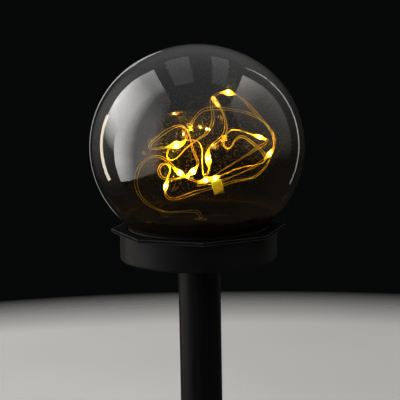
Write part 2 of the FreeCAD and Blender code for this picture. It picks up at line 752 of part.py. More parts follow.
def make_base_cup():
    body = new_body("base_cup", cup_level)
    foot_radius = dim.cup_radius - dim.cup_draft
    spigot_bore = push_fit_radius - dim.spigot_wall
    spigot_end = -(dim.shoulder_height + dim.spigot_length)
    shoulder_radius = dim.pole_radius - dim.shoulder_inset
    profile = new_sketch(body, "profile", "XZ_Plane")
    add_outline(
        profile,
        [
            (spigot_bore, spigot_end),
            (push_fit_radius - dim.spigot_lead / 2, spigot_end),
            (push_fit_radius, spigot_end + dim.spigot_lead),
            (push_fit_radius, -dim.shoulder_height),
            (shoulder_radius, -dim.shoulder_height),
            (shoulder_radius, 0),
            (foot_radius, 0),
            (dim.cup_radius, dim.cup_height),
            (cup_bore, dim.cup_height),
            (cup_bore - dim.cup_draft, dim.cup_floor),
            (0, dim.cup_floor),
            (0, 0),
            (spigot_bore, 0),
        ],
    )
    shell = revolve(body, profile)
    round_edges(body, shell, ring_edges(shell, foot_radius, 0), dim.cup_edge_round)

    # Sunk screw holes
    way = new_sketch(body, "screw_way")
    add_circle(way, dim.screw_radius + dim.screw_slack, screw_place, screw_place)
    way_cut = pocket(body, way, dim.cup_floor, up=True)
    sink = new_sketch(body, "screw_sink")
    add_circle(sink, dim.screw_head_radius + dim.screw_sink, screw_place, screw_place)
    sink_cut = pocket(body, sink, dim.screw_head_height + dim.screw_sink, up=True)
    repeat_round(body, [way_cut, sink_cut], SCREW_COUNT)

    # Finger dish and slot of the switch
    dish = new_sketch(body, "finger_dish")
    add_rectangle(dish, 0, dim.board_back, dim.finger_dish_width, dim.finger_dish_depth)
    pocket(body, dish, dim.finger_dish_sink, up=True)
    slot = new_sketch(body, "switch_slot")
    add_rectangle(slot, 0, dim.board_back, slot_length, slot_width)
    pocket(body, slot, dim.cup_floor, up=True)

    # Posts of the circuit board
    posts = new_sketch(body, "board_posts", lift=dim.cup_floor)
    pilots = new_sketch(body, "board_pilots", lift=dim.cup_floor + dim.switch_height)
    for x in (-dim.board_post_offset, dim.board_post_offset):
        add_circle(posts, dim.board_post_radius, x, dim.board_back)
        add_circle(pilots, dim.board_screw_radius + dim.screw_slack, x, dim.board_back)
    pad(body, posts, dim.switch_height)
    pocket(body, pilots, dim.board_screw_length - dim.board_thickness + dim.screw_sink)

    # Cradle of the battery: an end wall beyond each contact, and two saddle ribs
    walls = new_sketch(body, "cradle_walls", lift=dim.cup_floor)
    ribs = new_sketch(body, "cradle_ribs", lift=dim.cup_floor)
    wall_place = cradle_inside + dim.cradle_wall / 2
    cradle_depth = (dim.battery_radius + dim.cradle_slack + dim.cradle_wall) * 2
    for wall_x, rib_x in ((-wall_place, -dim.cradle_rib_offset), (wall_place, dim.cradle_rib_offset)):
        add_rectangle(walls, wall_x, -dim.battery_forward, dim.cradle_wall, cradle_depth)
        add_rectangle(ribs, rib_x, -dim.battery_forward, dim.cradle_wall, cradle_depth)
    pad(body, walls, dim.cradle_height)
    pad(body, ribs, dim.cradle_slack + dim.battery_radius)
    saddle = new_sketch(body, "saddle", "YZ_Plane")
    saddle_height = dim.cup_floor + dim.cradle_slack + dim.battery_radius
    add_circle(saddle, dim.battery_radius + dim.cradle_slack, -dim.battery_forward, saddle_height)
    pocket(body, saddle, dim.cradle_rib_offset * 2 + dim.cradle_wall * 2, middle=True)


def add_screw_profile(sketch, radius, length, head_radius, head_height):
    """Half a screw beside the sketch's upright axis, head down, with its seat at height 0."""
    add_outline(
        sketch,
        [
            (0, -head_height),
            (head_radius - dim.screw_head_bevel, -head_height),
            (head_radius, dim.screw_head_bevel - head_height),
            (head_radius, 0),
            (radius, 0),
            (radius, length - radius),
            (0, length),
        ],
    )


def make_base_screws():
    seat_level = cup_level + dim.screw_head_height + dim.screw_sink
    floor_left = dim.cup_floor - dim.screw_head_height - dim.screw_sink
    body = new_body("base_screws", seat_level, as_size(SCREW_TURN))
    sketch = new_sketch(body, "profile", "XZ_Plane", shift=dim.screw_circle)
    length = dim.screw_length + floor_left
    add_screw_profile(sketch, dim.screw_radius, length, dim.screw_head_radius, dim.screw_head_height)
    repeat_round(body, [revolve(body, sketch)], SCREW_COUNT)


def make_solar_panel():
    board = new_body("panel_board", panel_level)
    sketch = new_sketch(board, "outline")
    add_rectangle(sketch, 0, dim.panel_back, dim.panel_width, dim.panel_depth)
    pad(board, sketch, dim.panel_board_thickness)

    # Narrow cells side by side, each the full depth of the panel
    cell_level = panel_level + dim.panel_board_thickness
    cells = new_body("solar_cells", cell_level)
    room = dim.panel_width - dim.cell_margin * 2
    pitch = (room + dim.cell_gap) / CELL_COUNT
    sketch = new_sketch(cells, "cell")
    first_cell = -(room / 2) + (pitch - dim.cell_gap) / 2
    cell_depth = dim.panel_depth - dim.cell_margin * 2
    add_rectangle(sketch, first_cell, dim.panel_back, pitch - dim.cell_gap, cell_depth)
    cell = pad(cells, sketch, dim.cell_thickness)
    row = cells.newObject("PartDesign::LinearPattern", "cell_row")
    row.Originals = [cell]
    row.Direction = (origin_feature(cells, "X_Axis"), [""])
    bind(row, "Length", pitch * (CELL_COUNT - 1))
    row.Occurrences = CELL_COUNT
    cells.Tip = row

    cover = new_body("panel_cover", cell_level + dim.cell_thickness)
    sketch = new_sketch(cover, "outline")
    add_rectangle(sketch, 0, dim.panel_back, dim.panel_width, dim.panel_depth)
    pad(cover, sketch, dim.panel_cover_thickness)


def make_grommet():
    body = new_body("string_grommet", deck_under_level)
    bind(body, "Placement.Base.y", dim.string_hole_y)
    bore = dim.string_diameter / 2 + dim.grommet_slack
    profile = new_sketch(body, "profile", "XZ_Plane")
    flange_top = dim.deck_thickness + dim.grommet_flange_height
    add_outline(
        profile,
        [
            (bore, 0),
            (dim.grommet_radius, 0),
            (dim.grommet_radius, dim.deck_thickness),
            (dim.grommet_flange_radius, dim.deck_thickness),
            (dim.grommet_flange_radius, dim.deck_thickness + dim.grommet_flange_height / 2),
            (dim.grommet_radius, flange_top),
            (bore, flange_top),
        ],
    )
    revolve(body, profile)


def make_light_string():
    diameter = dim.string_diameter.number
    wire, path = tube_along("string_wire", STRING_POINTS, diameter)
    gap = least_gap(path, diameter, LOOP_DIAMETERS * diameter)
    print(f"string_wire: least gap to itself {gap:.2f}")
    new_shape("string_wire", [wire], string_level, string_back)

    # A bead is a spindle with a small flat at each end, where the wire goes in
    half = dim.bead_length.number / 2
    end = dim.bead_end_radius.number
    belly = dim.bead_radius.number
    side = Part.Arc(
        FreeCAD.Vector(end, 0, -half), FreeCAD.Vector(belly, 0, 0), FreeCAD.Vector(end, 0, half)
    ).toShape()
    corners = [(end, half), (0, half), (0, -half), (end, -half)]
    flats = [
        Part.LineSegment(FreeCAD.Vector(x, 0, z), FreeCAD.Vector(far_x, 0, far_z)).toShape()
        for (x, z), (far_x, far_z) in zip(corners, corners[1:])
    ]
    face = Part.Face(Part.Wire([side] + flats))
    bead = face.revolve(FreeCAD.Vector(), FreeCAD.Vector(0, 0, 1), 360)
    beads = []
    for index in marked_runs(LIGHT):
        copy = bead.copy()
        copy.Placement = run_placement(STRING_POINTS, index)
        beads.append(copy)
    new_shape("led_beads", beads, string_level, string_back)

    # Sealed end: a short sleeve with rounded ends over the last of the wire
    sleeve = Part.makeCylinder(dim.end_seal_radius.number, dim.end_seal_length.number)
    sleeve = sleeve.makeFillet(dim.end_seal_radius.number / 2, sleeve.Edges[0::2])
    last_run = run_placement(STRING_POINTS, len(STRING_POINTS) - 2)
    tip = FreeCAD.Vector(*STRING_POINTS[-1])
    back = last_run.Rotation.multVec(FreeCAD.Vector(0, 0, dim.end_seal_radius.number))
    length = last_run.Rotation.multVec(FreeCAD.Vector(0, 0, dim.end_seal_length.number))
    sleeve.Placement = FreeCAD.Placement(tip + back - length, last_run.Rotation)
    new_shape("string_end_seal", [sleeve], string_level, string_back)

    # Tape folded over the wire, hanging straight down from it
    width = dim.tape_width.number
    thick = dim.tape_thickness.number
    tape = Part.makeBox(width, thick, dim.tape_drop.number)
    carrier = run_placement(STRING_POINTS, marked_runs(TAPE)[0])
    along = carrier.Rotation.multVec(FreeCAD.Vector(0, 0, 1))
    turn = FreeCAD.Rotation(FreeCAD.Vector(0, 0, 1), math.degrees(math.atan2(along.y, along.x)))
    corner = turn.multVec(FreeCAD.Vector(-width / 2, -thick / 2, thick / 2 - dim.tape_drop.number))
    tape.Placement = FreeCAD.Placement(carrier.Base + corner, turn)
    new_shape("tape_flag", [tape], string_level, string_back)


def make_battery():
    body = new_body("battery_cell", battery_level)
    bind(body, "Placement.Base.y", -dim.battery_forward)
    half = dim.battery_length / 2
    shift = dim.battery_nub_height / 2
    low = -(half + shift)
    high = half - shift
    profile = new_sketch(body, "profile", "XY_Plane")
    add_outline(
        profile,
        [
            (low, 0),
            (high + dim.battery_nub_height, 0),
            (high + dim.battery_nub_height, dim.battery_nub_radius),
            (high, dim.battery_nub_radius),
            (high, dim.battery_radius),
            (low, dim.battery_radius),
        ],
    )
    cell = body.newObject("PartDesign::Revolution", "cell_revolution")
    cell.Profile = profile
    cell.ReferenceAxis = (profile, ["H_Axis"])
    doc.recompute()

    # A spring strip at each end of the battery, with a tab for its lead
    contacts = new_body("battery_contacts", floor_level)
    bind(contacts, "Placement.Base.y", -dim.battery_forward)
    height = dim.cradle_height + dim.contact_tab
    for name, start in (("left", -cradle_inside), ("right", cradle_inside - dim.contact_thickness)):
        strip = new_sketch(contacts, f"{name}_strip", "YZ_Plane", lift=start)
        half_width = dim.contact_width / 2
        tab = half_width / 2
        add_outline(
            strip,
            [
                (-half_width, 0),
                (half_width, 0),
                (half_width, dim.cradle_height),
                (tab, dim.cradle_height),
                (tab, height),
                (-tab, height),
                (-tab, dim.cradle_height),
                (-half_width, dim.cradle_height),
            ],
        )
        pad(contacts, strip, dim.contact_thickness)


def make_circuit():
    board = new_body("circuit_board", board_level)
    outline = new_sketch(board, "outline")
    add_rectangle(outline, 0, dim.board_back, dim.board_width, dim.board_depth)
    for x in (-dim.board_post_offset, dim.board_post_offset):
        add_circle(outline, dim.board_screw_radius + dim.screw_slack, x, dim.board_back)
    pad(board, outline, dim.board_thickness)

    new_primitive(
        "Part::Box",
        "control_chip",
        {"Length": dim.chip_width, "Width": dim.chip_depth, "Height": dim.chip_height},
        (-dim.chip_offset - dim.chip_width / 2, dim.board_back - dim.chip_depth / 2, board_top_level),
    )
    new_primitive(
        "Part::Cylinder",
        "inductor",
        {"Radius": dim.inductor_radius, "Height": dim.inductor_height},
        (dim.inductor_offset, dim.board_back, board_top_level),
    )

    screws = new_body("board_screws", board_top_level)
    bind(screws, "Placement.Base.y", dim.board_back)
    for name, x in (("left", -dim.board_post_offset), ("right", dim.board_post_offset)):
        profile = new_sketch(screws, f"{name}_profile", "XZ_Plane", shift=x)
        length = dim.board_screw_length
        add_outline(
            profile,
            [
                (0, -length),
                (dim.board_screw_radius, -length),
                (dim.board_screw_radius, 0),
                (dim.board_screw_head_radius, 0),
                (dim.board_screw_head_radius, dim.board_screw_head_height),
                (0, dim.board_screw_head_height),
            ],
        )
        revolve(screws, profile)


def make_switch():
    body = new_body("switch_body", floor_level)
    case = new_sketch(body, "case")
    add_rectangle(case, 0, dim.board_back, dim.switch_width, dim.switch_depth)
    pad(body, case, dim.switch_height)
    way = new_sketch(body, "knob_way")
    add_rectangle(way, 0, dim.board_back, slot_length, slot_width)
    pocket(body, way, dim.knob_reach + dim.knob_slack, up=True)

    knob = new_body("switch_knob", cup_level + dim.knob_sink)
    stem = new_sketch(knob, "stem")
    add_rectangle(stem, -dim.knob_travel / 2, dim.board_back, dim.knob_width, dim.knob_depth)
    pad(knob, stem, dim.cup_floor - dim.knob_sink + dim.knob_reach)


def make_leads():
    """Inner wiring, drawn about the floor of the cup."""
    diameter = dim.lead_diameter.number
    bend = dim.lead_bend.number
    board_top = (board_top_level - floor_level).number
    pad_y = (dim.board_back - dim.board_depth / 2 + dim.pad_inset).number

    def end_on_board(x):
        """The last two points of a lead, straight down onto its pad."""
        return [(x, pad_y, board_top + bend), (x, pad_y, board_top)]

    way_y = lead_way_y.number
    panel_under = (panel_level - floor_level).number
    tab_x = (cradle_inside + dim.lead_diameter / 2).number
    tab_y = -dim.battery_forward.number
    tab_z = (dim.cradle_height + dim.contact_tab / 2).number
    battery_pad = dim.battery_pad_offset.number
    panel_leads = []
    battery_leads = []
    for side in (-1, 1):
        panel_route = [(side * diameter, way_y, panel_under), (side * diameter, way_y, panel_under - bend)]
        panel_route += end_on_board(side * dim.panel_pad_offset.number)
        panel_leads.append(tube_along("panel_leads", panel_route, diameter)[0])
        battery_route = [
            (side * tab_x, tab_y, tab_z),
            (side * tab_x, tab_y, tab_z + bend),
            (side * (tab_x + battery_pad) / 2, (tab_y + pad_y) / 2, tab_z + bend),
        ]
        battery_route += end_on_board(side * battery_pad)
        battery_leads.append(tube_along("battery_leads", battery_route, diameter)[0])
    new_shape("panel_leads", panel_leads, floor_level)
    new_shape("battery_leads", battery_leads, floor_level)

    # The string's own end, down through the grommet and over the battery
    hole_y = dim.string_hole_y.number
    deck_under = (deck_under_level - floor_level).number
    grommet_length = (dim.deck_thickness + dim.grommet_flange_height).number
    string_pad = dim.string_pad_offset.number
    over_battery = (dim.cradle_slack + dim.battery_radius * 2).number + diameter
    string_route = [
        (0.0, hole_y, deck_under + grommet_length),
        (0.0, hole_y, deck_under - bend),
        (string_pad / 2, tab_y, over_battery),
    ]
    string_route += end_on_board(string_pad)
    string_lead, _ = tube_along("string_lead", string_route, dim.string_diameter.number)
    new_shape("string_lead", [string_lead], floor_level)


def make_pole():
    body = new_body("pole_tube")
    ring = new_sketch(body, "section")
    add_circle(ring, dim.pole_radius)
    add_circle(ring, pole_bore)
    tube = pad(body, ring, dim.pole_length)
    names = ring_edges(tube, dim.pole_radius, 0) + ring_edges(tube, dim.pole_radius, dim.pole_length)
    bevel_edges(body, tube, names, dim.pole_edge)


def make_spike():
    body = new_body("ground_spike")
    shoulder = new_sketch(body, "shoulder")
    add_circle(shoulder, dim.pole_radius - dim.spike_shoulder_inset)
    pad(body, shoulder, dim.spike_shoulder_height, down=True)
    plug = new_sketch(body, "plug")
    add_circle(plug, dim.plug_core_radius)
    pad(body, plug, dim.plug_length)

    # Ribs that grip the pole's bore, with a lead-in at the top
    rib = new_sketch(body, "rib", "XZ_Plane")
    root = dim.plug_core_radius - dim.plug_rib_root
    add_outline(
        rib,
        [
            (root, 0),
            (push_fit_radius, 0),
            (push_fit_radius, dim.plug_length - dim.plug_rib_lead),
            (dim.plug_core_radius, dim.plug_length),
            (root, dim.plug_length),
        ],
    )
    rib_solid = revolve(body, rib, dim.plug_rib_angle, middle=True)
    repeat_round(body, [rib_solid], PLUG_RIB_COUNT)

    # Two crossed blades that narrow to a point
    top = -dim.spike_shoulder_height
    bend = top - dim.spike_fin_straight
    tip = -dim.spike_length
    half_tip = dim.spike_tip_width / 2
    for role in ("XZ_Plane", "YZ_Plane"):
        blade = new_sketch(body, f"blade_{role[:2].lower()}", role)
        add_outline(
            blade,
            [
                (-dim.spike_fin_reach, top),
                (-dim.spike_fin_reach, bend),
                (-half_tip, tip),
                (half_tip, tip),
                (dim.spike_fin_reach, bend),
                (dim.spike_fin_reach, top),
            ],
        )
        pad(body, blade, dim.spike_fin_thickness, middle=True)


make_globe()
make_globe_seal()
make_base_plate()
make_base_cup()
make_base_screws()
make_solar_panel()
make_grommet()
make_light_string()
make_battery()
make_circuit()
make_switch()
make_leads()
make_pole()
make_spike()
doc.recompute()

for item in doc.Objects:
    if "Invalid" in item.State or "Error" in item.State:
        raise RuntimeError(f"{item.Name} failed: {item.State}")
for item in pieces:
    if item.Shape.isNull() or not item.Shape.isValid():
        raise RuntimeError(f"{item.Label} has no valid shape")

os.makedirs("parts", exist_ok=True)
for item in pieces:
    item.Shape.exportStep(f"parts/{item.Label}.step")
    print(f"{item.Label}: {len(item.Shape.Solids)} solids, {item.Shape.Volume:.1f} mm3")
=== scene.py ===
# %% [markdown]
# # A solar stake light
# The light is a smoked clear globe with a string of small warm lights inside. The globe twists onto a
# black base, the base sits on a black tube, and a spike goes into the ground. The solid pieces come
# from the CAD frame, already at their real size and place, so this lesson gives them their finishes and
# makes the thin and soft things: the wire, its lights and the tape on it. Everything is in metres, with
# +Z up. The box around the frame is kept, and the floor is set at its foot.

# %% Load the frame
import bisect
import math
from functools import partial

import bmesh
import bpy
from mathutils import Matrix, Vector, noise


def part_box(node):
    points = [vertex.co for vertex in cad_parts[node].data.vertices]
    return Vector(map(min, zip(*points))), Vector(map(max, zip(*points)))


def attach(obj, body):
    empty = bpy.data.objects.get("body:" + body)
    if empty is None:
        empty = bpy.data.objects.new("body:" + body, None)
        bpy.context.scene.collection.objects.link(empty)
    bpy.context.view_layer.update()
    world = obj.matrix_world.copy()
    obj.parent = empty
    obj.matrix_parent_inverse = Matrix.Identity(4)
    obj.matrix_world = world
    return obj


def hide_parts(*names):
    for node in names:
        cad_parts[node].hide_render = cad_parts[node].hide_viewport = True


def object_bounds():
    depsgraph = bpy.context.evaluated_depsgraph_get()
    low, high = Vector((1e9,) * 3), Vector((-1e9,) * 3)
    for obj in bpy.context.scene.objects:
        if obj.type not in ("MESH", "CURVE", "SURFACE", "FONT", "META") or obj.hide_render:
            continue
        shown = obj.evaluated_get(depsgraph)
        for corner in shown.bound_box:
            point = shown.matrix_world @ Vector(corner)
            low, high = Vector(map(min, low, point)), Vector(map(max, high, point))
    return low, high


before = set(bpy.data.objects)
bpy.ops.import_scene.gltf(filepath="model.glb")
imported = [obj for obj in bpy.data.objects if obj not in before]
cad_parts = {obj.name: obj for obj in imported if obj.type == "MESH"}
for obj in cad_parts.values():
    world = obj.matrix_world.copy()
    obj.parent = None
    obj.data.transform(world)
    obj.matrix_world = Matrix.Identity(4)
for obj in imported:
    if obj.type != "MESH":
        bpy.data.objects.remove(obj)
cad_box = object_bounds()
scene = bpy.context.scene
MM = 0.001
GLOBE_CROWN = 47.6 * MM
globe_low, globe_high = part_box("globe")
globe_centre = Vector((0, 0, globe_high.z - GLOBE_CROWN))
print("frame:", len(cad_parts), "nodes, globe centre at", round(globe_centre.z, 4))

# %% [markdown]
# Two settings decide how light becomes a picture. The standard view shows a colour as it is written.
# Cycles can also limit how bright light may be after a bounce, which hides noise. Going through the
# globe counts as a bounce, so that limit would dim the very lights that this object is about, and it is
# taken off.

# %% Picture settings
scene.view_settings.view_transform = "Standard"
scene.cycles.sample_clamp_indirect = 0.0
print("view:", scene.view_settings.view_transform, "limit:", scene.cycles.sample_clamp_indirect)

# %% [markdown]
# The light is seen from a little above the globe and slightly to its left, with a long lens that looks
# down by about nine degrees. A camera can be given as a matrix of numbers, but a turn, a tilt, a roll
# and a distance say more to a reader, and each of them could be fitted to the outlines of the globe,
# the flange and the pole.

# %% Camera
CAMERA_DISTANCE = 0.6067
CAMERA_TILT = math.radians(9.437)
CAMERA_TURN = math.radians(2.99)
CAMERA_ROLL = math.radians(-1.05)
CAMERA_RIGHT = 0.0014
CAMERA_DROP = 0.0249
CAMERA_LENS = 117.0
SENSOR_WIDTH = 36.0


def make_camera():
    ahead = Vector((
        math.sin(CAMERA_TURN) * math.cos(CAMERA_TILT),
        math.cos(CAMERA_TURN) * math.cos(CAMERA_TILT),
        -math.sin(CAMERA_TILT),
    ))
    level = Vector((math.cos(CAMERA_TURN), -math.sin(CAMERA_TURN), 0))
    above = level.cross(ahead)
    right = level * math.cos(CAMERA_ROLL) + above * math.sin(CAMERA_ROLL)
    up = above * math.cos(CAMERA_ROLL) - level * math.sin(CAMERA_ROLL)
    data = bpy.data.cameras.new("camera")
    data.lens = CAMERA_LENS
    data.sensor_width = SENSOR_WIDTH
    camera = bpy.data.objects.new("camera", data)
    camera.matrix_world = Matrix((right, up, -ahead)).transposed().to_4x4()
    camera.location = globe_centre - ahead * CAMERA_DISTANCE + right * CAMERA_RIGHT - up * CAMERA_DROP
    scene.collection.objects.link(camera)
    scene.camera = camera
    print("camera at", [round(value, 3) for value in camera.location])


make_camera()

# %% [markdown]
# The light string comes next, because it is the heart of the look. On the real light it is a pair of
# fine lacquered copper wires that spring out of the deck into a loose tangle, and it ends in a sealed
# tip. A simulation would tangle it differently from the real one, so one smooth spline holds it,
# steered by listed points, the same points that the solid wire follows. A mark says which run
# carries a light, the tape or a knot.

# %% Route of the string, about the globe's centre
LIGHT = "light"
TAPE = "tape"
KNOT = "knot"
STRING_ROUTE = [
    # Out of the deck and round the large loop on the left
    (0.0000, -0.0195, -0.0302), (0.0000, -0.0195, -0.0283), (-0.0019, -0.0194, -0.0270),
    (-0.0056, -0.0192, -0.0269), (-0.0102, -0.0189, -0.0271), (-0.0154, -0.0183, -0.0272),
    (-0.0215, -0.0172, -0.0252), (-0.0268, -0.0158, -0.0210), (-0.0292, -0.0144, -0.0148),
    (-0.0282, -0.0130, -0.0086), (-0.0243, -0.0120, -0.0038), (-0.0190, -0.0110, -0.0020),
    (-0.0143, -0.0100, -0.0046), (-0.0110, -0.0092, -0.0085, LIGHT), (-0.0060, -0.0086, -0.0130),
    # Across to the right, back over the top of the right loop and into the first knot
    (0.0006, -0.0078, -0.0160, LIGHT), (0.0062, -0.0072, -0.0136), (0.0125, -0.0060, -0.0098),
    (0.0200, -0.0044, -0.0056), (0.0275, -0.0016, -0.0016), (0.0326, 0.0026, 0.0006),
    (0.0344, 0.0072, 0.0012), (0.0332, 0.0110, 0.0015, LIGHT), (0.0284, 0.0129, 0.0029),
    (0.0230, 0.0132, 0.0052), (0.0185, 0.0120, 0.0065), (0.0150, 0.0102, 0.0052),
    (0.0129, 0.0084, 0.0022, KNOT), (0.0131, 0.0068, -0.0012), (0.0152, 0.0054, -0.0023),
    (0.0172, 0.0043, -0.0001),
    # Out of the knot, round the right once more and back to the middle
    (0.0187, 0.0037, 0.0032), (0.0220, 0.0037, 0.0041), (0.0262, 0.0047, 0.0008),
    (0.0306, 0.0066, -0.0029), (0.0338, 0.0096, -0.0072), (0.0328, 0.0134, -0.0104),
    (0.0280, 0.0152, -0.0117), (0.0226, 0.0148, -0.0123), (0.0170, 0.0128, -0.0137),
    (0.0116, 0.0103, -0.0157, LIGHT), (0.0064, 0.0077, -0.0175), (0.0016, 0.0046, -0.0189),
    # Turn back to the right, up the side and over to the second knot
    (-0.0006, 0.0010, -0.0184), (0.0016, -0.0024, -0.0174), (0.0064, -0.0039, -0.0169, TAPE),
    (0.0126, -0.0034, -0.0153), (0.0200, -0.0019, -0.0129), (0.0270, -0.0003, -0.0100),
    (0.0326, 0.0008, -0.0064, LIGHT), (0.0364, 0.0012, -0.0018), (0.0370, 0.0009, 0.0038),
    (0.0338, 0.0000, 0.0088), (0.0288, -0.0011, 0.0129), (0.0224, -0.0022, 0.0160),
    (0.0154, -0.0034, 0.0174), (0.0080, -0.0046, 0.0184), (0.0026, -0.0054, 0.0178),
    (-0.0010, -0.0056, 0.0144), (-0.0037, -0.0050, 0.0096, KNOT), (-0.0047, -0.0041, 0.0049),
    # Left through the large light, round and back to the second knot, then down
    (-0.0068, -0.0034, 0.0016, LIGHT), (-0.0126, -0.0026, 0.0006), (-0.0180, -0.0015, -0.0003),
    (-0.0218, 0.0016, -0.0009), (-0.0222, 0.0054, 0.0006), (-0.0188, 0.0078, 0.0033),
    (-0.0142, 0.0079, 0.0067), (-0.0096, 0.0063, 0.0093), (-0.0054, 0.0042, 0.0093),
    (-0.0032, 0.0024, 0.0058), (-0.0026, 0.0012, 0.0009), (-0.0010, 0.0002, -0.0042),
    (0.0005, -0.0009, -0.0072), (-0.0003, -0.0024, -0.0095, LIGHT), (-0.0044, -0.0042, -0.0128),
    # Small loop on the left and the low light
    (-0.0088, -0.0044, -0.0141), (-0.0129, -0.0036, -0.0148), (-0.0164, -0.0025, -0.0142),
    (-0.0184, -0.0012, -0.0115), (-0.0176, 0.0002, -0.0085), (-0.0147, 0.0014, -0.0076),
    (-0.0125, 0.0023, -0.0096), (-0.0130, 0.0026, -0.0126), (-0.0144, 0.0022, -0.0156, LIGHT),
    (-0.0156, 0.0013, -0.0210), (-0.0146, 0.0006, -0.0239), (-0.0114, 0.0001, -0.0249),
    # Low across to the right, up the side in front and over the top light
    (-0.0064, 0.0004, -0.0235), (-0.0006, 0.0014, -0.0216), (0.0052, 0.0025, -0.0206),
    (0.0112, 0.0034, -0.0194), (0.0174, 0.0034, -0.0173), (0.0232, 0.0019, -0.0164),
    (0.0282, -0.0007, -0.0144), (0.0320, -0.0036, -0.0096), (0.0345, -0.0054, -0.0039),
    (0.0356, -0.0062, 0.0020), (0.0339, -0.0066, 0.0080), (0.0296, -0.0067, 0.0130),
    (0.0252, -0.0065, 0.0178), (0.0210, -0.0066, 0.0222), (0.0172, -0.0065, 0.0250, LIGHT),
    (0.0114, -0.0066, 0.0259),
    # Down to the left in front, a tight turn, then the upright light and the sealed end
    (0.0074, -0.0068, 0.0240), (0.0062, -0.0076, 0.0200), (0.0073, -0.0086, 0.0156),
    (0.0068, -0.0092, 0.0108), (0.0038, -0.0093, 0.0068), (-0.0009, -0.0091, 0.0040),
    (-0.0056, -0.0090, 0.0006), (-0.0092, -0.0084, -0.0036), (-0.0123, -0.0073, -0.0055),
    (-0.0146, -0.0062, -0.0037), (-0.0138, -0.0057, -0.0004), (-0.0102, -0.0064, 0.0024),
    (-0.0050, -0.0069, 0.0041), (-0.0002, -0.0061, 0.0039), (0.0022, -0.0051, 0.0002),
    (0.0020, -0.0045, -0.0052), (0.0021, -0.0033, -0.0104), (0.0027, -0.0014, -0.0134),
    (0.0040, 0.0007, -0.0142), (0.0053, 0.0026, -0.0123), (0.0057, 0.0035, -0.0094, LIGHT),
    (0.0048, 0.0036, -0.0036), (0.0068, 0.0036, 0.0002), (0.0106, 0.0033, 0.0023),
    (0.0132, 0.0024, 0.0053), (0.0140, 0.0013, 0.0095), (0.0131, 0.0001, 0.0139),
    (0.0109, -0.0009, 0.0184), (0.0078, -0.0019, 0.0226),
]
route = [Vector(point[:3]) + globe_centre for point in STRING_ROUTE]
print("route:", len(route), "points")

# %% [markdown]
# A quadratic spline touches the middle of every run between two control points, so a light that sits
# midway on a run also sits on the wire. Blender works the curve out: it is turned into a mesh without
# any bevel, and its points are read back. Everything on the string is then placed by its distance along
# that line.

# %% Line of the string
LINE_STEPS = 10


def read_line(points):
    data = bpy.data.curves.new("string_line", "CURVE")
    data.dimensions = "3D"
    data.resolution_u = LINE_STEPS
    spline = data.splines.new("NURBS")
    spline.points.add(len(points) - 1)
    for control, place in zip(spline.points, points):
        control.co = (*place, 1.0)
    spline.order_u = 3
    spline.use_endpoint_u = True
    guide = bpy.data.objects.new("string_line", data)
    mesh = bpy.data.meshes.new_from_object(guide)
    line = [vertex.co.copy() for vertex in mesh.vertices]
    bpy.data.objects.remove(guide)
    bpy.data.curves.remove(data)
    bpy.data.meshes.remove(mesh)
    return line


string_line = read_line(route)
string_marks = [0.0]
for start, end in zip(string_line, string_line[1:]):
    string_marks.append(string_marks[-1] + (end - start).length)
string_length = string_marks[-1]
print("string:", len(string_line), "points,", round(string_length, 4), "m long")

# %% [markdown]
# A tube needs a direction at each point and a sideways arrow that does not spin as the wire turns.
# Carrying one arrow along and squaring it up at every step gives that. A place on the line is then a
# point with its three arrows, and a place past the end runs straight on.

# %% Places along the string
string_ahead = []
string_side = []
carried = Vector((1, 0, 0))
for index in range(len(string_line)):
    before = string_line[max(index - 1, 0)]
    after = string_line[min(index + 1, len(string_line) - 1)]
    ahead = (after - before).normalized()
    carried = (carried - ahead * carried.dot(ahead)).normalized()
    string_ahead.append(ahead)
    string_side.append(carried.copy())


def place_on_string(distance):
    index = min(max(bisect.bisect_right(string_marks, distance) - 1, 0), len(string_line) - 2)
    share = (distance - string_marks[index]) / (string_marks[index + 1] - string_marks[index])
    point = string_line[index].lerp(string_line[index + 1], share)
    near = index if share < 0.5 else index + 1
    ahead = string_ahead[near]
    side = string_side[near]
    return point, ahead, side, ahead.cross(side)


def middle_distances(mark):
    found = []
    for index, point in enumerate(STRING_ROUTE):
        if point[3:] == (mark,):
            middle = (route[index] + route[index + 1]) / 2
            nearest = min(range(len(string_line)), key=lambda spot: (string_line[spot] - middle).length)
            found.append(string_marks[nearest])
    return found


light_places = middle_distances(LIGHT)
tape_place = middle_distances(TAPE)[0]
knot_places = middle_distances(KNOT)
print("lights at", [round(place, 3) for place in light_places])
print("tape at", round(tape_place, 3), "knots at", [round(place, 3) for place in knot_places])

# %% [markdown]
# Every finish is a small tree of nodes that ends in Blender's main shader. Linking nodes by hand takes
# many lines, so three helpers do it: one adds a node and fills its inputs with values or links, one
# starts a finish, and one links sockets to the shader by name.

# %% Nodes for finishes
def add_node(tree, kind, inputs=None, **settings):
    node = tree.nodes.new("ShaderNode" + kind)
    for name, value in settings.items():
        setattr(node, name, value)
    for socket, value in (inputs or {}).items():
        if isinstance(value, bpy.types.NodeSocket):
            tree.links.new(value, node.inputs[socket])
        else:
            node.inputs[socket].default_value = value
    return node


def new_finish(name, **values):
    material = bpy.data.materials.new(name)
    material.use_nodes = True
    shader = material.node_tree.nodes["Principled BSDF"]
    for socket, value in values.items():
        shader.inputs[socket.replace("_", " ")].default_value = value
    return material, material.node_tree, shader


def set_inputs(tree, shader, **sockets):
    for name, socket in sockets.items():
        tree.links.new(socket, shader.inputs[name.replace("_", " ")])


print("plain materials from the frame:", len(bpy.data.materials))

# %% [markdown]
# A finish needs patterns. They use object coordinates, and every object here sits at the origin in
# metres, so a scale of 1000 means spots of about a millimetre. Noise is stretched to a useful span,
# mottles two tones, or is raised as height for the light to catch.

# %% Patterns
def object_point(tree, stretch=(1, 1, 1)):
    place = add_node(tree, "TexCoord").outputs["Object"]
    return add_node(tree, "Mapping", {"Vector": place, "Scale": stretch}).outputs[0]


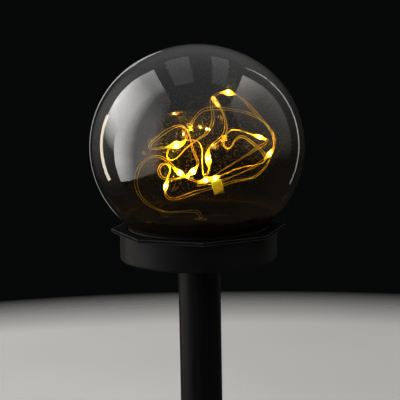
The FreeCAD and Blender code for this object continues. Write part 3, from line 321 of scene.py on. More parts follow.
def spots(tree, scale, detail=4.0, stretch=(1, 1, 1)):
    place = object_point(tree, stretch)
    return add_node(tree, "TexNoise", {"Vector": place, "Scale": scale, "Detail": detail}).outputs[0]


def span(tree, value, low, high, start=0.3, end=0.7):
    inputs = {"Value": value, "From Min": start, "From Max": end, "To Min": low, "To Max": high}
    return add_node(tree, "MapRange", inputs).outputs[0]


def as_colour(tone):
    return tone if isinstance(tone, bpy.types.NodeSocket) else (*tone, 1)


def two_tone(tree, share, first, second):
    inputs = {0: share, 6: as_colour(first), 7: as_colour(second)}
    return add_node(tree, "Mix", inputs, data_type="RGBA").outputs[2]


def mottled(tree, pattern, first, second):
    return two_tone(tree, span(tree, pattern, low=0, high=1), first, second)


def raised(tree, height, depth, normal=None):
    inputs = {"Height": height, "Distance": depth, "Strength": 1.0}
    if normal is not None:
        inputs["Normal"] = normal
    return add_node(tree, "Bump", inputs).outputs[0]


print("spots at a scale of 1000 are about", 1 / 1000 / MM, "mm wide")

# %% [markdown]
# The wire is enamelled copper: metal under a clear warm lacquer, which the eye sees more of than the
# metal. The enamel is never quite even. Slow changes of tone along the wire and a little roughness keep
# the lines from looking drawn with a pen.

# %% Copper finish
def make_copper():
    material, tree, shader = new_finish(
        "lacquered_copper", Metallic=0.15, Coat_Weight=0.15, Coat_Roughness=0.15
    )
    tone = mottled(tree, spots(tree, scale=160), (0.95, 0.70, 0.085), (1.0, 0.82, 0.12))
    rough = span(tree, spots(tree, scale=1400), low=0.22, high=0.42)
    pits = raised(tree, spots(tree, scale=2600), depth=0.02 * MM)
    set_inputs(tree, shader, Base_Color=tone, Roughness=rough, Normal=pits)
    return material


def dress(finish, *nodes):
    for node in nodes:
        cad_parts[node].data.materials[0] = finish
    print(finish.name, "on", ", ".join(nodes))


copper = make_copper()
dress(copper, "string_wire", "string_lead")

# %% [markdown]
# Most small things here are skins: a row of rings joined by faces and closed at both ends. One helper
# draws a ring, one joins the rings, and one turns the finished form into a piece that rides on the head
# of the light. Where a piece has two finishes, the faces that look down get the second one.

# %% Skins and pieces
UNDERSIDE = -0.15


def ring_about(point, first, second, radius_at, corners):
    turns = [2 * math.pi * index / corners for index in range(corners)]
    return [point + (first * math.cos(turn) + second * math.sin(turn)) * radius_at(turn) for turn in turns]


def add_skin(form, rings):
    rows = [[form.verts.new(corner) for corner in ring] for ring in rings]
    form.faces.new(rows[0])
    form.faces.new(rows[-1][::-1])
    for low, high in zip(rows, rows[1:]):
        for index in range(len(low)):
            after = (index + 1) % len(low)
            form.faces.new((low[after], low[index], high[index], high[after]))
    return rows


def make_piece(name, form, finishes):
    bmesh.ops.recalc_face_normals(form, faces=form.faces[:])
    for face in form.faces:
        face.smooth = True
        face.material_index = len(finishes) - 1 if face.normal.z < UNDERSIDE else 0
    mesh = bpy.data.meshes.new(name)
    form.to_mesh(mesh)
    form.free()
    for finish in finishes:
        mesh.materials.append(finish)
    piece = bpy.data.objects.new(name, mesh)
    scene.collection.objects.link(piece)
    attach(piece, "head")
    print(name, len(mesh.vertices), "points")
    return piece


print("a face looks down when its normal leans below", UNDERSIDE)

# %% [markdown]
# The string is a pair of strands, not one wire. They run side by side, roll slowly round each other,
# drift apart by a fraction of a millimetre and come together at each light, where they are soldered,
# and at the sealed end. A curve with a round bevel would give one even wire, so both strands are skins
# around the same line instead, pushed to opposite sides of it.

# %% The pair of strands
STRAND_RADIUS = 0.09 * MM
STRAND_CORNERS = 8
STRAND_SPREAD = 0.52 * MM
SPREAD_DRIFT = 0.16 * MM
DRIFT_LONG = 9.3 * MM
DRIFT_SHORT = 4.1 * MM
DRIFT_START = 1.3
PINCH = 0.6
PINCH_REACH = 3.0 * MM
ROLL_LENGTH = 95 * MM
ROLL_SWAY = 0.9
SWAY_LENGTH = 21 * MM
pinched = light_places + [string_length]


def strand_spread(distance):
    drift = math.sin(distance / DRIFT_LONG) * math.sin(distance / DRIFT_SHORT + DRIFT_START)
    nearest = min(abs(distance - place) for place in pinched)
    pinch = 1 - PINCH * math.exp(-((nearest / PINCH_REACH) ** 2))
    return (STRAND_SPREAD + SPREAD_DRIFT * drift) * pinch


def strand_roll(distance):
    return 2 * math.pi * distance / ROLL_LENGTH + ROLL_SWAY * math.sin(distance / SWAY_LENGTH)


def strand_ring(centre, first, second):
    return ring_about(centre, first, second, lambda turn: STRAND_RADIUS, STRAND_CORNERS)


def make_strands():
    form = bmesh.new()
    for half_turn in (0, math.pi):
        rings = []
        for distance, point, ahead, side in zip(string_marks, string_line, string_ahead, string_side):
            up = ahead.cross(side)
            roll = strand_roll(distance) + half_turn
            centre = point + (side * math.cos(roll) + up * math.sin(roll)) * strand_spread(distance)
            rings.append(strand_ring(centre, side, up))
        add_skin(form, rings)
    return make_piece("string_strands", form, [copper])


strands = make_strands()
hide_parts("string_wire")

# %% [markdown]
# Where the loops cross, the pair has caught on itself and been pulled into a small knot. A real knot is
# hard to follow by eye, so a few uneven turns round the wire stand for it: the radius and the place
# along the wire both swing as the coil goes round.

# %% Knots
KNOT_TURNS = 5
KNOT_RADIUS = 1.7 * MM
KNOT_LENGTH = 3.4 * MM
KNOT_SHIFT = -2.4 * MM
KNOT_STEPS = 150
RADIUS_SWING = 0.32
RADIUS_BEAT = 1.37
LENGTH_SWING = 0.22
LENGTH_BEAT = 0.61


def make_knots():
    form = bmesh.new()
    for place in knot_places:
        point, ahead, side, up = place_on_string(place + KNOT_SHIFT)
        rings = []
        for step in range(KNOT_STEPS + 1):
            share = step / KNOT_STEPS
            turn = 2 * math.pi * KNOT_TURNS * share
            outward = side * math.cos(turn) + up * math.sin(turn)
            swing = RADIUS_SWING * math.sin(RADIUS_BEAT * turn + place / MM)
            reach = KNOT_RADIUS * (1 - RADIUS_SWING + swing)
            along = KNOT_LENGTH * (share - 0.5 + LENGTH_SWING * math.sin(LENGTH_BEAT * turn))
            rings.append(strand_ring(point + outward * reach + ahead * along, outward, ahead))
        add_skin(form, rings)
    return make_piece("string_knots", form, [copper])


knots = make_knots()

# %% [markdown]
# Each light is a chip the size of a grain, soldered across the strands and buried in a drop of clear
# resin. The drops are set by hand at the factory, so no two are alike, and a ball would look wrong at
# once. The radius of a drop comes from a pointed profile, a belly in the middle that runs out in two
# tails along the wire, and a little noise gives it shallow lumps.

# %% Shape of a drop
DROP_RADIUS = 1.2 * MM
DROP_TIP = 0.20
TIP_POWER = 6
BELLY_POWER = 1.5
DROP_FLAT = 0.12
DROP_LUMPS = 0.34
LUMP_SCALE = 1.3
LUMP_ALONG = 1.6
LUMP_APART = 5.3


def drop_profile(share):
    belly = (1 - abs(share) ** BELLY_POWER) ** BELLY_POWER
    return DROP_TIP * (1 - abs(share) ** TIP_POWER) + (1 - DROP_TIP) * belly


def drop_radius(number, share, girth, turn):
    sample = Vector((math.cos(turn), math.sin(turn), LUMP_ALONG * share + LUMP_APART * number))
    lumps = 1 + DROP_LUMPS * noise.noise(sample * LUMP_SCALE)
    flat = 1 - DROP_FLAT * math.sin(turn) ** 2
    return DROP_RADIUS * drop_profile(share) * girth * lumps * flat


print("a drop is about", round(2 * DROP_RADIUS * drop_profile(0) / MM, 1), "mm thick in the middle")

# %% [markdown]
# A drop is a skin of rings along the wire, so it follows every bend. The drops lean to one side of the
# wire, and two of them are larger than the rest. How near a point lies to the chip is stored with the
# point as an attribute, which the finish can read.

# %% Drops of resin
DROP_HALF = 4.171 * MM
DROP_RINGS = 25
DROP_CORNERS = 18
DROP_END = 0.99834
DROP_LEAN = 0.22 * MM
LEAN_TURN = 2.4
GIRTH_SWING = 0.08
GIRTH_BEAT = 1.7
LARGE_DROPS = (5, 9)
LARGE_SIZE = 1.35
GLOW_REACH = 1.1 * MM


def even_shares(count, end):
    return [end * (2 * step / (count - 1) - 1) for step in range(count)]


def add_drop(form, glow, number, place):
    heart, ahead, side, up = place_on_string(place)
    lean = (side * math.cos(LEAN_TURN * number) + up * math.sin(LEAN_TURN * number)) * DROP_LEAN
    size = LARGE_SIZE if number in LARGE_DROPS else 1.0
    girth = size * (1 + GIRTH_SWING * math.sin(GIRTH_BEAT * number))
    rings = []
    for share in even_shares(DROP_RINGS, DROP_END):
        point, ahead, side, up = place_on_string(place + share * DROP_HALF * size)
        centre = point + lean * drop_profile(share)
        radius_at = partial(drop_radius, number, share, girth)
        rings.append(ring_about(centre, side, up, radius_at, DROP_CORNERS))
    for row in add_skin(form, rings):
        for corner in row:
            reach = (corner.co - heart - lean).length / (GLOW_REACH * size)
            corner[glow] = math.exp(-(reach ** 2))


def make_drops():
    form = bmesh.new()
    glow = form.verts.layers.float.new("glow")
    for number, place in enumerate(light_places):
        add_drop(form, glow, number, place)
    return form


drop_form = make_drops()
print("drops:", len(light_places), "with", len(drop_form.verts), "points")

# %% [markdown]
# Lit resin is brightest round the chip and fades to amber towards the tails, which the eye sees as a
# white heart with a golden edge. The stored nearness becomes a glow on top of clear resin. The resin
# bends light less than real resin would, so that the chip keeps its shape inside the drop. Shadow rays
# pass through it, so that the chip still lights the wires, and the glow isn't sampled as a lamp,
# because the chip already is one.

# %% Finish of the drops
GLOW_STRENGTH = 14.0
TAIL_STRENGTH = 0.7


def combine(tree, operation, first, second=0.0):
    return add_node(tree, "Math", {0: first, 1: second}, operation=operation).outputs[0]


def mix_shaders(tree, share, first, second):
    return add_node(tree, "MixShader", {0: share, 1: first.outputs[0], 2: second.outputs[0]})


def pass_shadow_rays(tree, shader, tint):
    clear = add_node(tree, "BsdfTransparent", {"Color": as_colour(tint)})
    mix = mix_shaders(tree, add_node(tree, "LightPath").outputs["Is Shadow Ray"], shader, clear)
    tree.links.new(mix.outputs[0], tree.nodes["Material Output"].inputs["Surface"])


def make_resin():
    material, tree, shader = new_finish("lit_resin", Transmission_Weight=1.0, IOR=1.15)
    cloud = spots(tree, scale=700)
    tint = mottled(tree, cloud, (1.0, 0.80, 0.42), (1.0, 0.88, 0.60))
    rough = span(tree, spots(tree, scale=900), low=0.0, high=0.03)
    lumps = raised(tree, spots(tree, scale=1100), depth=0.12 * MM)
    set_inputs(tree, shader, Base_Color=tint, Roughness=rough, Normal=lumps)
    glow = add_node(tree, "Attribute", attribute_name="glow").outputs["Fac"]
    heat = two_tone(tree, glow, (1.0, 0.65, 0.035), (1.0, 0.80, 0.30))
    fade = span(tree, glow, TAIL_STRENGTH, GLOW_STRENGTH, start=0.0, end=1.0)
    strength = combine(tree, "MULTIPLY", fade, span(tree, cloud, low=0.8, high=1.2))
    set_inputs(tree, shader, Emission_Color=heat, Emission_Strength=strength)
    pass_shadow_rays(tree, shader, (0.98, 0.90, 0.72))
    material.cycles.emission_sampling = "NONE"
    return material


drops = make_piece("light_drops", drop_form, [make_resin()])
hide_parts("led_beads")

# %% [markdown]
# The chip is a soft-edged slab with a swollen top. A cube with bevelled edges would do from afar, but
# it is drawn as a skin of squarish rings, because a superellipse gives the rounded corners of a moulded
# body.

# %% Chips
CHIP_HALF = 0.45 * MM
CHIP_WIDTH = 0.20 * MM
CHIP_HEIGHT = 0.17 * MM
CHIP_CORNERS = 16
CHIP_RINGS = 9
CHIP_END = 0.98522
CHIP_SQUARE = 4
CHIP_FALL = 0.4


def chip_radius(share, turn):
    fall = (1 - abs(share) ** CHIP_SQUARE) ** CHIP_FALL
    sides = abs(math.cos(turn)) ** CHIP_SQUARE + abs(math.sin(turn)) ** CHIP_SQUARE
    return fall * sides ** (-1 / CHIP_SQUARE)


def make_chips():
    form = bmesh.new()
    for place in light_places:
        rings = []
        for share in even_shares(CHIP_RINGS, CHIP_END):
            point, ahead, side, up = place_on_string(place + share * CHIP_HALF)
            width = side * CHIP_WIDTH
            height = up * CHIP_HEIGHT
            rings.append(ring_about(point, width, height, partial(chip_radius, share), CHIP_CORNERS))
        add_skin(form, rings)
    return form


chip_form = make_chips()
print("chips:", len(light_places), "with", len(chip_form.verts), "points")

# %% [markdown]
# A warm light is a blue chip under yellow phosphor, on a base of white ceramic. The phosphor is by far
# the brightest thing here, so its colour is a warm amber, and its strength makes it read as white-hot
# with warm light around it. The underside is plain ceramic, which keeps the deck below in the dark.

# %% Finish of the chips
CHIP_STRENGTH = 18500.0


def make_phosphor():
    material, tree, shader = new_finish(
        "phosphor", Roughness=0.6, Emission_Color=(1.0, 0.64, 0.11, 1), Emission_Strength=CHIP_STRENGTH
    )
    tone = mottled(tree, spots(tree, scale=3000), (0.92, 0.66, 0.10), (0.98, 0.82, 0.30))
    set_inputs(tree, shader, Base_Color=tone)
    return material


def make_ceramic():
    material, tree, shader = new_finish("chip_ceramic")
    grain = spots(tree, scale=4000)
    tone = mottled(tree, grain, (0.70, 0.68, 0.62), (0.82, 0.80, 0.75))
    set_inputs(tree, shader, Base_Color=tone, Roughness=span(tree, grain, low=0.35, high=0.55))
    return material


chips = make_piece("light_chips", chip_form, [make_phosphor(), make_ceramic()])

# %% [markdown]
# The string ends in a dab of the same resin drawn out into a sleeve, which keeps rain out of the cut
# ends. It is a skin along the last few millimetres of the line, with blunt ends and a slight waist.

# %% Sealed end
END_LENGTH = 6.4 * MM
END_PAST = 1.0 * MM
END_RADIUS = 1.05 * MM
END_RINGS = 21
END_CORNERS = 16
END_REACH = 0.99502
END_BLUNT = 7
END_ROUND = 0.45
END_WAIST = 0.12
END_LUMPS = 0.07
END_LUMPS_ALONG = 4


def end_radius(share, turn):
    blunt = (1 - abs(2 * share - 1) ** END_BLUNT) ** END_ROUND
    waist = 1 - END_WAIST * math.sin(2 * math.pi * share) ** 2
    sample = Vector((math.cos(turn), math.sin(turn), END_LUMPS_ALONG * share))
    return END_RADIUS * blunt * waist * (1 + END_LUMPS * noise.noise(sample))


def make_end():
    form = bmesh.new()
    rings = []
    for reach in even_shares(END_RINGS, END_REACH):
        share = (reach + 1) / 2
        point, ahead, side, up = place_on_string(string_length + END_PAST - (1 - share) * END_LENGTH)
        rings.append(ring_about(point, side, up, partial(end_radius, share), END_CORNERS))
    add_skin(form, rings)
    return form


end_form = make_end()
print("sealed end:", len(end_form.verts), "points")

# %% [markdown]
# This resin is cloudier than the drops. It lies near the top light and carries some of that light
# along, which is slow to trace, so a weak glow in its cloudy patches stands for it.

# %% Finish of the sealed end
END_GLOW = 2.2


def make_end_resin():
    material, tree, shader = new_finish(
        "end_resin_clear", Transmission_Weight=0.7, IOR=1.5, Emission_Color=(1.0, 0.60, 0.10, 1)
    )
    cloud = spots(tree, scale=600)
    tint = mottled(tree, cloud, (0.85, 0.72, 0.48), (0.95, 0.86, 0.66))
    rough = span(tree, cloud, low=0.12, high=0.30)
    lumps = raised(tree, spots(tree, scale=900), depth=0.08 * MM)
    glow = span(tree, cloud, low=0.0, high=END_GLOW, start=0.45, end=0.62)
    set_inputs(tree, shader, Base_Color=tint, Roughness=rough, Normal=lumps, Emission_Strength=glow)
    pass_shadow_rays(tree, shader, (0.9, 0.8, 0.6))
    material.cycles.emission_sampling = "NONE"
    return material


string_end = make_piece("string_end", end_form, [make_end_resin()])
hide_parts("string_end_seal")

# %% [markdown]
# A scrap of yellow tape is folded over one stretch of the wire, as a tag. Cloth simulation could fold
# it, but a scrap this small is quicker to draw. It is a strip with a real thickness, so its edge is a
# closed outline: down one leaf, over the wire, down the other leaf and back again inside. The two
# leaves close under the wire, and part towards the bottom where the tape has curled.

# %% Outline of the tape
TAPE_DROP = 5.7 * MM
TAPE_THICK = 0.14 * MM
FOLD_RADIUS = 0.60 * MM
FOLD_STEPS = 8
LEAF_GAP = 0.22 * MM
LEAF_STEPS = 9
CLOSE_RATE = 3
BACK_CURL = 0.4


def leaf_gap(share):
    return LEAF_GAP + (FOLD_RADIUS - LEAF_GAP) * (1 - min(share * CLOSE_RATE, 1))


def tape_middle(curl):
    middle = []
    for step in range(LEAF_STEPS):
        share = 1 - step / LEAF_STEPS
        middle.append(Vector((-leaf_gap(share) - curl * share ** 3, -TAPE_DROP * share)))
    for step in range(FOLD_STEPS + 1):
        turn = math.pi * (1 - step / FOLD_STEPS)
        middle.append(Vector((FOLD_RADIUS * math.cos(turn), FOLD_RADIUS * math.sin(turn))))
    for step in range(1, LEAF_STEPS + 1):
        share = step / LEAF_STEPS
        middle.append(Vector((leaf_gap(share) + BACK_CURL * curl * share ** 2, -TAPE_DROP * share)))
    return middle


def tape_outline(curl):
    middle = tape_middle(curl)
    outer = []
    inner = []
    for index, point in enumerate(middle):
        before = middle[max(index - 1, 0)]
        after = middle[min(index + 1, len(middle) - 1)]
        along = (after - before).normalized()
        out = Vector((-along.y, along.x)) * (TAPE_THICK / 2)
        outer.append(point + out)
        inner.append(point - out)
    return outer + inner[::-1]


print("tape outline:", len(tape_outline(0.0)), "points")

# %% [markdown]
# That outline is swept along the wire in a few steps, and the curl grows from one side to the other, as
# a corner of tape lifts. The tape is a strong yellow with a faint weave. Light goes a little way into
# it, which is what the subsurface part of the shader is for.

# %% Tape
TAPE_WIDTH = 4.7 * MM
TAPE_SHIFT = -0.9 * MM
TAPE_COLUMNS = 11
CURL_LEAST = 0.02 * MM
CURL_GROWTH = 0.30 * MM


def make_tape(finish):
    form = bmesh.new()
    point, ahead, side, up = place_on_string(tape_place + TAPE_SHIFT)
    down = (Vector((0, 0, -1)) + ahead * ahead.z).normalized()
    across = ahead.cross(-down)
    rings = []
    for column in range(TAPE_COLUMNS):
        share = column / (TAPE_COLUMNS - 1)
        outline = tape_outline(CURL_LEAST + CURL_GROWTH * share ** 3)
        centre = point + ahead * TAPE_WIDTH * (share - 0.5)
        rings.append([centre + across * spot.x - down * spot.y for spot in outline])
    add_skin(form, rings)
    return make_piece("wire_tag", form, [finish])


def make_tape_finish():
    material, tree, shader = new_finish("yellow_tape", Subsurface_Weight=0.25, Subsurface_Scale=1 * MM)
    tone = mottled(tree, spots(tree, scale=350), (0.96, 0.88, 0.05), (0.99, 0.94, 0.09))
    weave = spots(tree, scale=1800, stretch=(1, 1, 4))
    rough = span(tree, weave, low=0.35, high=0.55)
    set_inputs(tree, shader, Base_Color=tone, Roughness=rough, Normal=raised(tree, weave, depth=0.05 * MM))
    return material


wire_tag = make_tape(make_tape_finish())
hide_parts("tape_flag")

# %% [markdown]
# The string leaves the deck at the top of the grommet, and its end is a bare sealed tip inside the
# globe.

# %% [markdown]
# The light stands outdoors, so fine dust lies on its globe. By itself it hardly shows, but each speck
# scatters the lights behind it and sparkles gold. Voronoi cells give one speck to a cell, and the
# random colour of a cell picks which cells have one. Hands and rain keep the lower part clean, so the
# dust fades out there.

# %% Dust on the globe
DUST_SCALE = 1400
DUST_RADIUS = 0.15
DUST_SOFT_EDGE = 1.4
DUST_SHARE = 0.60
DUST_STRENGTH = 0.35
DUST_LOW = -36 * MM
DUST_HIGH = -10 * MM


def axis_value(tree, axis):
    place = add_node(tree, "TexCoord").outputs["Object"]
    return add_node(tree, "SeparateXYZ", {0: place}).outputs[axis]


def dust_cover(tree):
    cells = add_node(tree, "TexVoronoi", {"Vector": object_point(tree), "Scale": DUST_SCALE})
    edge = DUST_SOFT_EDGE * DUST_RADIUS
    speck = span(tree, cells.outputs["Distance"], DUST_STRENGTH, 0.0, start=DUST_RADIUS, end=edge)
    chance = add_node(tree, "SeparateColor", {0: cells.outputs["Color"]}).outputs[0]
    picked = combine(tree, "LESS_THAN", chance, DUST_SHARE)
    low = globe_centre.z + DUST_LOW
    high = globe_centre.z + DUST_HIGH
    lift = span(tree, axis_value(tree, "Z"), 0.0, 1.0, start=low, end=high)
    return combine(tree, "MULTIPLY", combine(tree, "MULTIPLY", speck, picked), lift)


print("a speck of dust is about", round(2 * DUST_RADIUS / DUST_SCALE / MM, 2), "mm wide")

# %% [markdown]
# A moulded ball is never quite true. Wide, very shallow waves bend the reflections a little, and the
# plastic has left upright flow lines, which draw the lights out into streaks on the wall behind them.
# Both are bumps. The lines are noise that is stretched upwards, and they rise only in the back half, so
# the view through the front stays clear.

# %% Waves and flow lines
WAVE_SCALE = 28
WAVE_DEPTH = 0.08 * MM
FLOW_SCALE = 330
FLOW_STRETCH = (1, 1, 0.12)
FLOW_DEPTH = 0.06 * MM
FLOW_START = 5 * MM
FLOW_FULL = 25 * MM


def globe_bumps(tree):
    waves = raised(tree, spots(tree, WAVE_SCALE, detail=1.0), WAVE_DEPTH)
    behind = span(tree, axis_value(tree, "Y"), 0.0, 1.0, start=FLOW_START, end=FLOW_FULL)
    lines = spots(tree, FLOW_SCALE, detail=2.0, stretch=FLOW_STRETCH)
    return raised(tree, combine(tree, "MULTIPLY", lines, behind), FLOW_DEPTH, waves)


print("flow lines start", round(FLOW_START / MM), "mm behind the middle")

# %% [markdown]
# The globe is blown or moulded from smoked clear plastic. Smoke could be a volume that swallows light,
# but the wall is thin and even, so a tint at the surface does the same and renders faster. It is glass
# to the shader, with a grey-brown tint that is written as the light that passes one wall, and a faint
# film makes the gloss uneven. Dust is a rough golden refraction, mixed in where a speck lies. The
# lowest few millimetres of the neck are painted shade: the glass there gives way to a matt near-black
# band, which stands in for the dark at the globe's foot and hides its bright reflection.

# %% Smoked globe
GLOBE_IOR = 1.58
DUST_ROUGHNESS = 0.31
DUST_COLOUR = (1.0, 0.78, 0.40)
# The band at the foot of the globe is painted shade, a matt near-black in place of the glass.
NECK_SHADE_HEIGHT = 5.0 * MM
NECK_SHADE_FADE = 4.0 * MM
NECK_SHADE_TINT = (0.006, 0.0045, 0.003)
neck_shade_top = globe_low.z + NECK_SHADE_HEIGHT


def make_smoked():
    material, tree, shader = new_finish("smoked_plastic", Transmission_Weight=1.0, IOR=GLOBE_IOR)
    smoke = mottled(tree, spots(tree, scale=22, detail=2.0), (0.57, 0.50, 0.42), (0.63, 0.56, 0.48))
    film = span(tree, spots(tree, scale=90, detail=5.0), low=0.0, high=0.04, start=0.55, end=0.85)
    set_inputs(tree, shader, Base_Color=smoke, Roughness=film, Normal=globe_bumps(tree))
    speck_inputs = {"Color": as_colour(DUST_COLOUR), "Roughness": DUST_ROUGHNESS, "IOR": GLOBE_IOR}
    speck = add_node(tree, "BsdfRefraction", speck_inputs)
    dusty = mix_shaders(tree, dust_cover(tree), shader, speck)
    # Painted shade: below this height the globe turns into a matt near-black band.
    neck = span(tree, axis_value(tree, "Z"), 1.0, 0.0, start=neck_shade_top, end=neck_shade_top + NECK_SHADE_FADE)
    painted_neck_shade = add_node(tree, "BsdfDiffuse", {"Color": as_colour(NECK_SHADE_TINT)})
    pass_shadow_rays(tree, mix_shaders(tree, neck, dusty, painted_neck_shade), (0.34, 0.27, 0.19))
    return material


dress(make_smoked(), "globe")

# %% [markdown]
# The base is moulded from black plastic. Such plastic is not pure black: its tone is a little cloudy,
# and its edges are paler where handling has polished them. The bevel node rounds the edges for the
# light only, and comparing its normal with the true one also tells where the edges are.

# %% Blacks and edges
BLACK_CLOUDS = 55
COOL_SHIFT = 1.06


def grey(level):
    return (level, level, level)


def edge_share(tree, width):
    rounded = add_node(tree, "Bevel", {"Radius": width}, samples=6).outputs[0]
    plain = add_node(tree, "NewGeometry").outputs["Normal"]
    facing = add_node(tree, "VectorMath", {0: rounded, 1: plain}, operation="DOT_PRODUCT").outputs["Value"]
    return rounded, span(tree, facing, 1.0, 0.0, start=0.80, end=0.995)


def black_tones(tree, edge, dark, light, worn):
    plain = mottled(tree, spots(tree, BLACK_CLOUDS), grey(dark), (light, light, light * COOL_SHIFT))
    return two_tone(tree, edge, plain, grey(worn))


print("clouds in the black are about", round(1 / BLACK_CLOUDS / MM), "mm wide")

# %% [markdown]
# The mould itself is spark-eroded, which leaves a fine grain in the surface, and the roughness varies a
# little. The deck inside the globe is painted much darker than the flange around it, although they are
# one moulding: painted shade that keeps the deck dark under the bright lights inside the globe. The
# distance from the axis tells the two apart.

# %% Black mouldings
FLANGE_START = 33.6 * MM
FLANGE_FADE = 0.4 * MM
HAZE_SCALE = 240
EDGE_POLISH = 0.08
FINE_GRAIN = (2600, 0.03 * MM)
KNOB_GRAIN = (3500, 0.03 * MM)
COARSE_GRAIN = (1500, 0.06 * MM)


def length_of(tree, place):
    return add_node(tree, "VectorMath", {0: place}, operation="LENGTH").outputs["Value"]


def flange_share(tree):
    reach = length_of(tree, object_point(tree, stretch=(1, 1, 0)))
    return span(tree, reach, 0.0, 1.0, start=FLANGE_START, end=FLANGE_START + FLANGE_FADE)


def make_moulded(name, tones, haze_range, grain, edge_width, gloss, flange_tones=None):
    material, tree, shader = new_finish(name, Specular_IOR_Level=gloss)
    rounded, edge = edge_share(tree, edge_width)
    black = black_tones(tree, edge, *tones)
    # When flange tones are given, the first tones are the deck's painted shade and the flange keeps its own
    # plain tones.
    if flange_tones:
        black = two_tone(tree, flange_share(tree), black, black_tones(tree, edge, *flange_tones))
    haze = span(tree, spots(tree, HAZE_SCALE), *haze_range)
    polish = span(tree, edge, 0.0, EDGE_POLISH, start=0.0, end=1.0)
    scale, depth = grain
    pebbles = raised(tree, spots(tree, scale, detail=3.0), depth, rounded)
    rough = combine(tree, "SUBTRACT", haze, polish)
    set_inputs(tree, shader, Base_Color=black, Roughness=rough, Normal=pebbles)
    return material


cup_black = make_moulded(
    "moulded_black", (0.004, 0.008, 0.04), (0.36, 0.48), FINE_GRAIN, edge_width=0.4 * MM, gloss=0.04
)
dress(cup_black, "base_cup")
# The deck's tones are painted shade: far darker than the flange, to keep the deck dark under the lights in
# the globe.
deck_painted_shade = make_moulded(
    "deck_painted_shade", (0.001, 0.002, 0.012), (0.42, 0.55), FINE_GRAIN, edge_width=0.5 * MM, gloss=0.0,
    flange_tones=(0.004, 0.007, 0.07),
)
dress(deck_painted_shade, "base_plate")
knob_black = make_moulded(
    "knob_black", (0.012, 0.020, 0.05), (0.38, 0.50), KNOB_GRAIN, edge_width=0.2 * MM, gloss=0.1
)
dress(knob_black, "switch_knob")
spike_black = make_moulded(
    "spike_plastic", (0.012, 0.022, 0.05), (0.42, 0.58), COARSE_GRAIN, edge_width=0.5 * MM, gloss=0.1
)
dress(spike_black, "ground_spike")

# %% [markdown]
# The pole is a drawn tube with a thin black paint. Drawing leaves hair-fine lines along the tube, which
# is noise stretched along Z, and the paint lies over it with a soft orange-peel. An image of brushed
# metal could be wrapped round it, but noise has no seam and needs no file.

# %% Painted pole
LINE_SHARE = 0.5


def make_painted():
    material, tree, shader = new_finish("painted_tube", Specular_IOR_Level=0.04)
    rounded, edge = edge_share(tree, 0.3 * MM)
    lines = spots(tree, scale=900, detail=3.0, stretch=(1, 1, 0.02))
    peel = spots(tree, scale=420, detail=2.0)
    paint = mottled(tree, lines, (0.003, 0.003, 0.0033), (0.006, 0.006, 0.0063))
    worn = two_tone(tree, edge, paint, grey(0.06))
    rough = span(tree, combine(tree, "MULTIPLY", lines, peel), low=0.30, high=0.48, start=0.15, end=0.40)
    height = combine(tree, "ADD", combine(tree, "MULTIPLY", lines, LINE_SHARE), peel)
    relief = raised(tree, height, 0.03 * MM, rounded)
    set_inputs(tree, shader, Base_Color=worn, Roughness=rough, Normal=relief)
    return material


dress(make_painted(), "pole_tube")

# %% [markdown]
# Rubber is the dullest black of all, and a flat dark colour would read as a hole. The seal under the
# globe and the grommet in the deck share it: almost no gloss, a fine bloom of grey that drives both
# tone and roughness, and the faintest sheen at grazing angles.

# %% Rubber
def make_rubber():
    material, tree, shader = new_finish("soft_rubber", Sheen_Weight=0.05, Specular_IOR_Level=0.1)
    bloom = spots(tree, scale=300)
    tone = mottled(tree, bloom, (0.004, 0.004, 0.004), (0.010, 0.0095, 0.009))
    rough = span(tree, bloom, low=0.62, high=0.80)
    pores = raised(tree, spots(tree, scale=2200), depth=0.04 * MM)
    set_inputs(tree, shader, Base_Color=tone, Roughness=rough, Normal=pores)
    return material


dress(make_rubber(), "globe_seal", "string_grommet")

# %% [markdown]
# The solar panel lies on the deck under the globe. Its cells are blue-black silicon, crossed by
# hair-fine silver fingers and two wider bars, all made from repeating stripes: a coordinate is divided
# by the pitch, and the part after the point says where in a stripe it lies. Broad crystals give the
# blue its slow changes.

# %% Solar cells
FINGER_PITCH = 1.1 * MM
FINGER_SHARE = 0.06
BAR_PITCH = 13.5 * MM
BAR_SHARE = 0.05
SILVER_METAL = 0.7


def stripes(tree, axis, pitch, share):
    part = combine(tree, "FRACT", combine(tree, "DIVIDE", axis_value(tree, axis), pitch))
    return combine(tree, "LESS_THAN", part, share)


def make_cells():
    material, tree, shader = new_finish("silicon_cells", Coat_Weight=0.1, Coat_Roughness=0.05)
    crystal = add_node(tree, "TexVoronoi", {"Vector": object_point(tree), "Scale": 320}).outputs["Color"]
    share = add_node(tree, "SeparateColor", {0: crystal}).outputs[0]
    blue = two_tone(tree, share, (0.0015, 0.0017, 0.005), (0.003, 0.0035, 0.010))
    fingers = stripes(tree, "X", FINGER_PITCH, FINGER_SHARE)
    bars = stripes(tree, "Y", BAR_PITCH, BAR_SHARE)
    silver = combine(tree, "MAXIMUM", fingers, bars)
    # The silver is painted much darker than silver is, painted shade that keeps the panel dark under the
    # lights in the globe.
    colour = two_tone(tree, silver, blue, (0.07, 0.065, 0.06))
    rough = span(tree, share, low=0.18, high=0.32, start=0.0, end=1.0)
    set_inputs(tree, shader, Base_Color=colour, Roughness=rough)
    set_inputs(tree, shader, Metallic=combine(tree, "MULTIPLY", silver, SILVER_METAL))
    return material


dress(make_cells(), "solar_cells")

# %% [markdown]
# A layer of clear resin is poured over the cells to keep water out. It is clear plastic with a slight
# haze and a surface that has set in soft waves, and it lets shadow rays pass like the other clear
# things here. Its grey tint is darker than clear resin is, painted shade that keeps the panel dark
# under the lights in the globe.

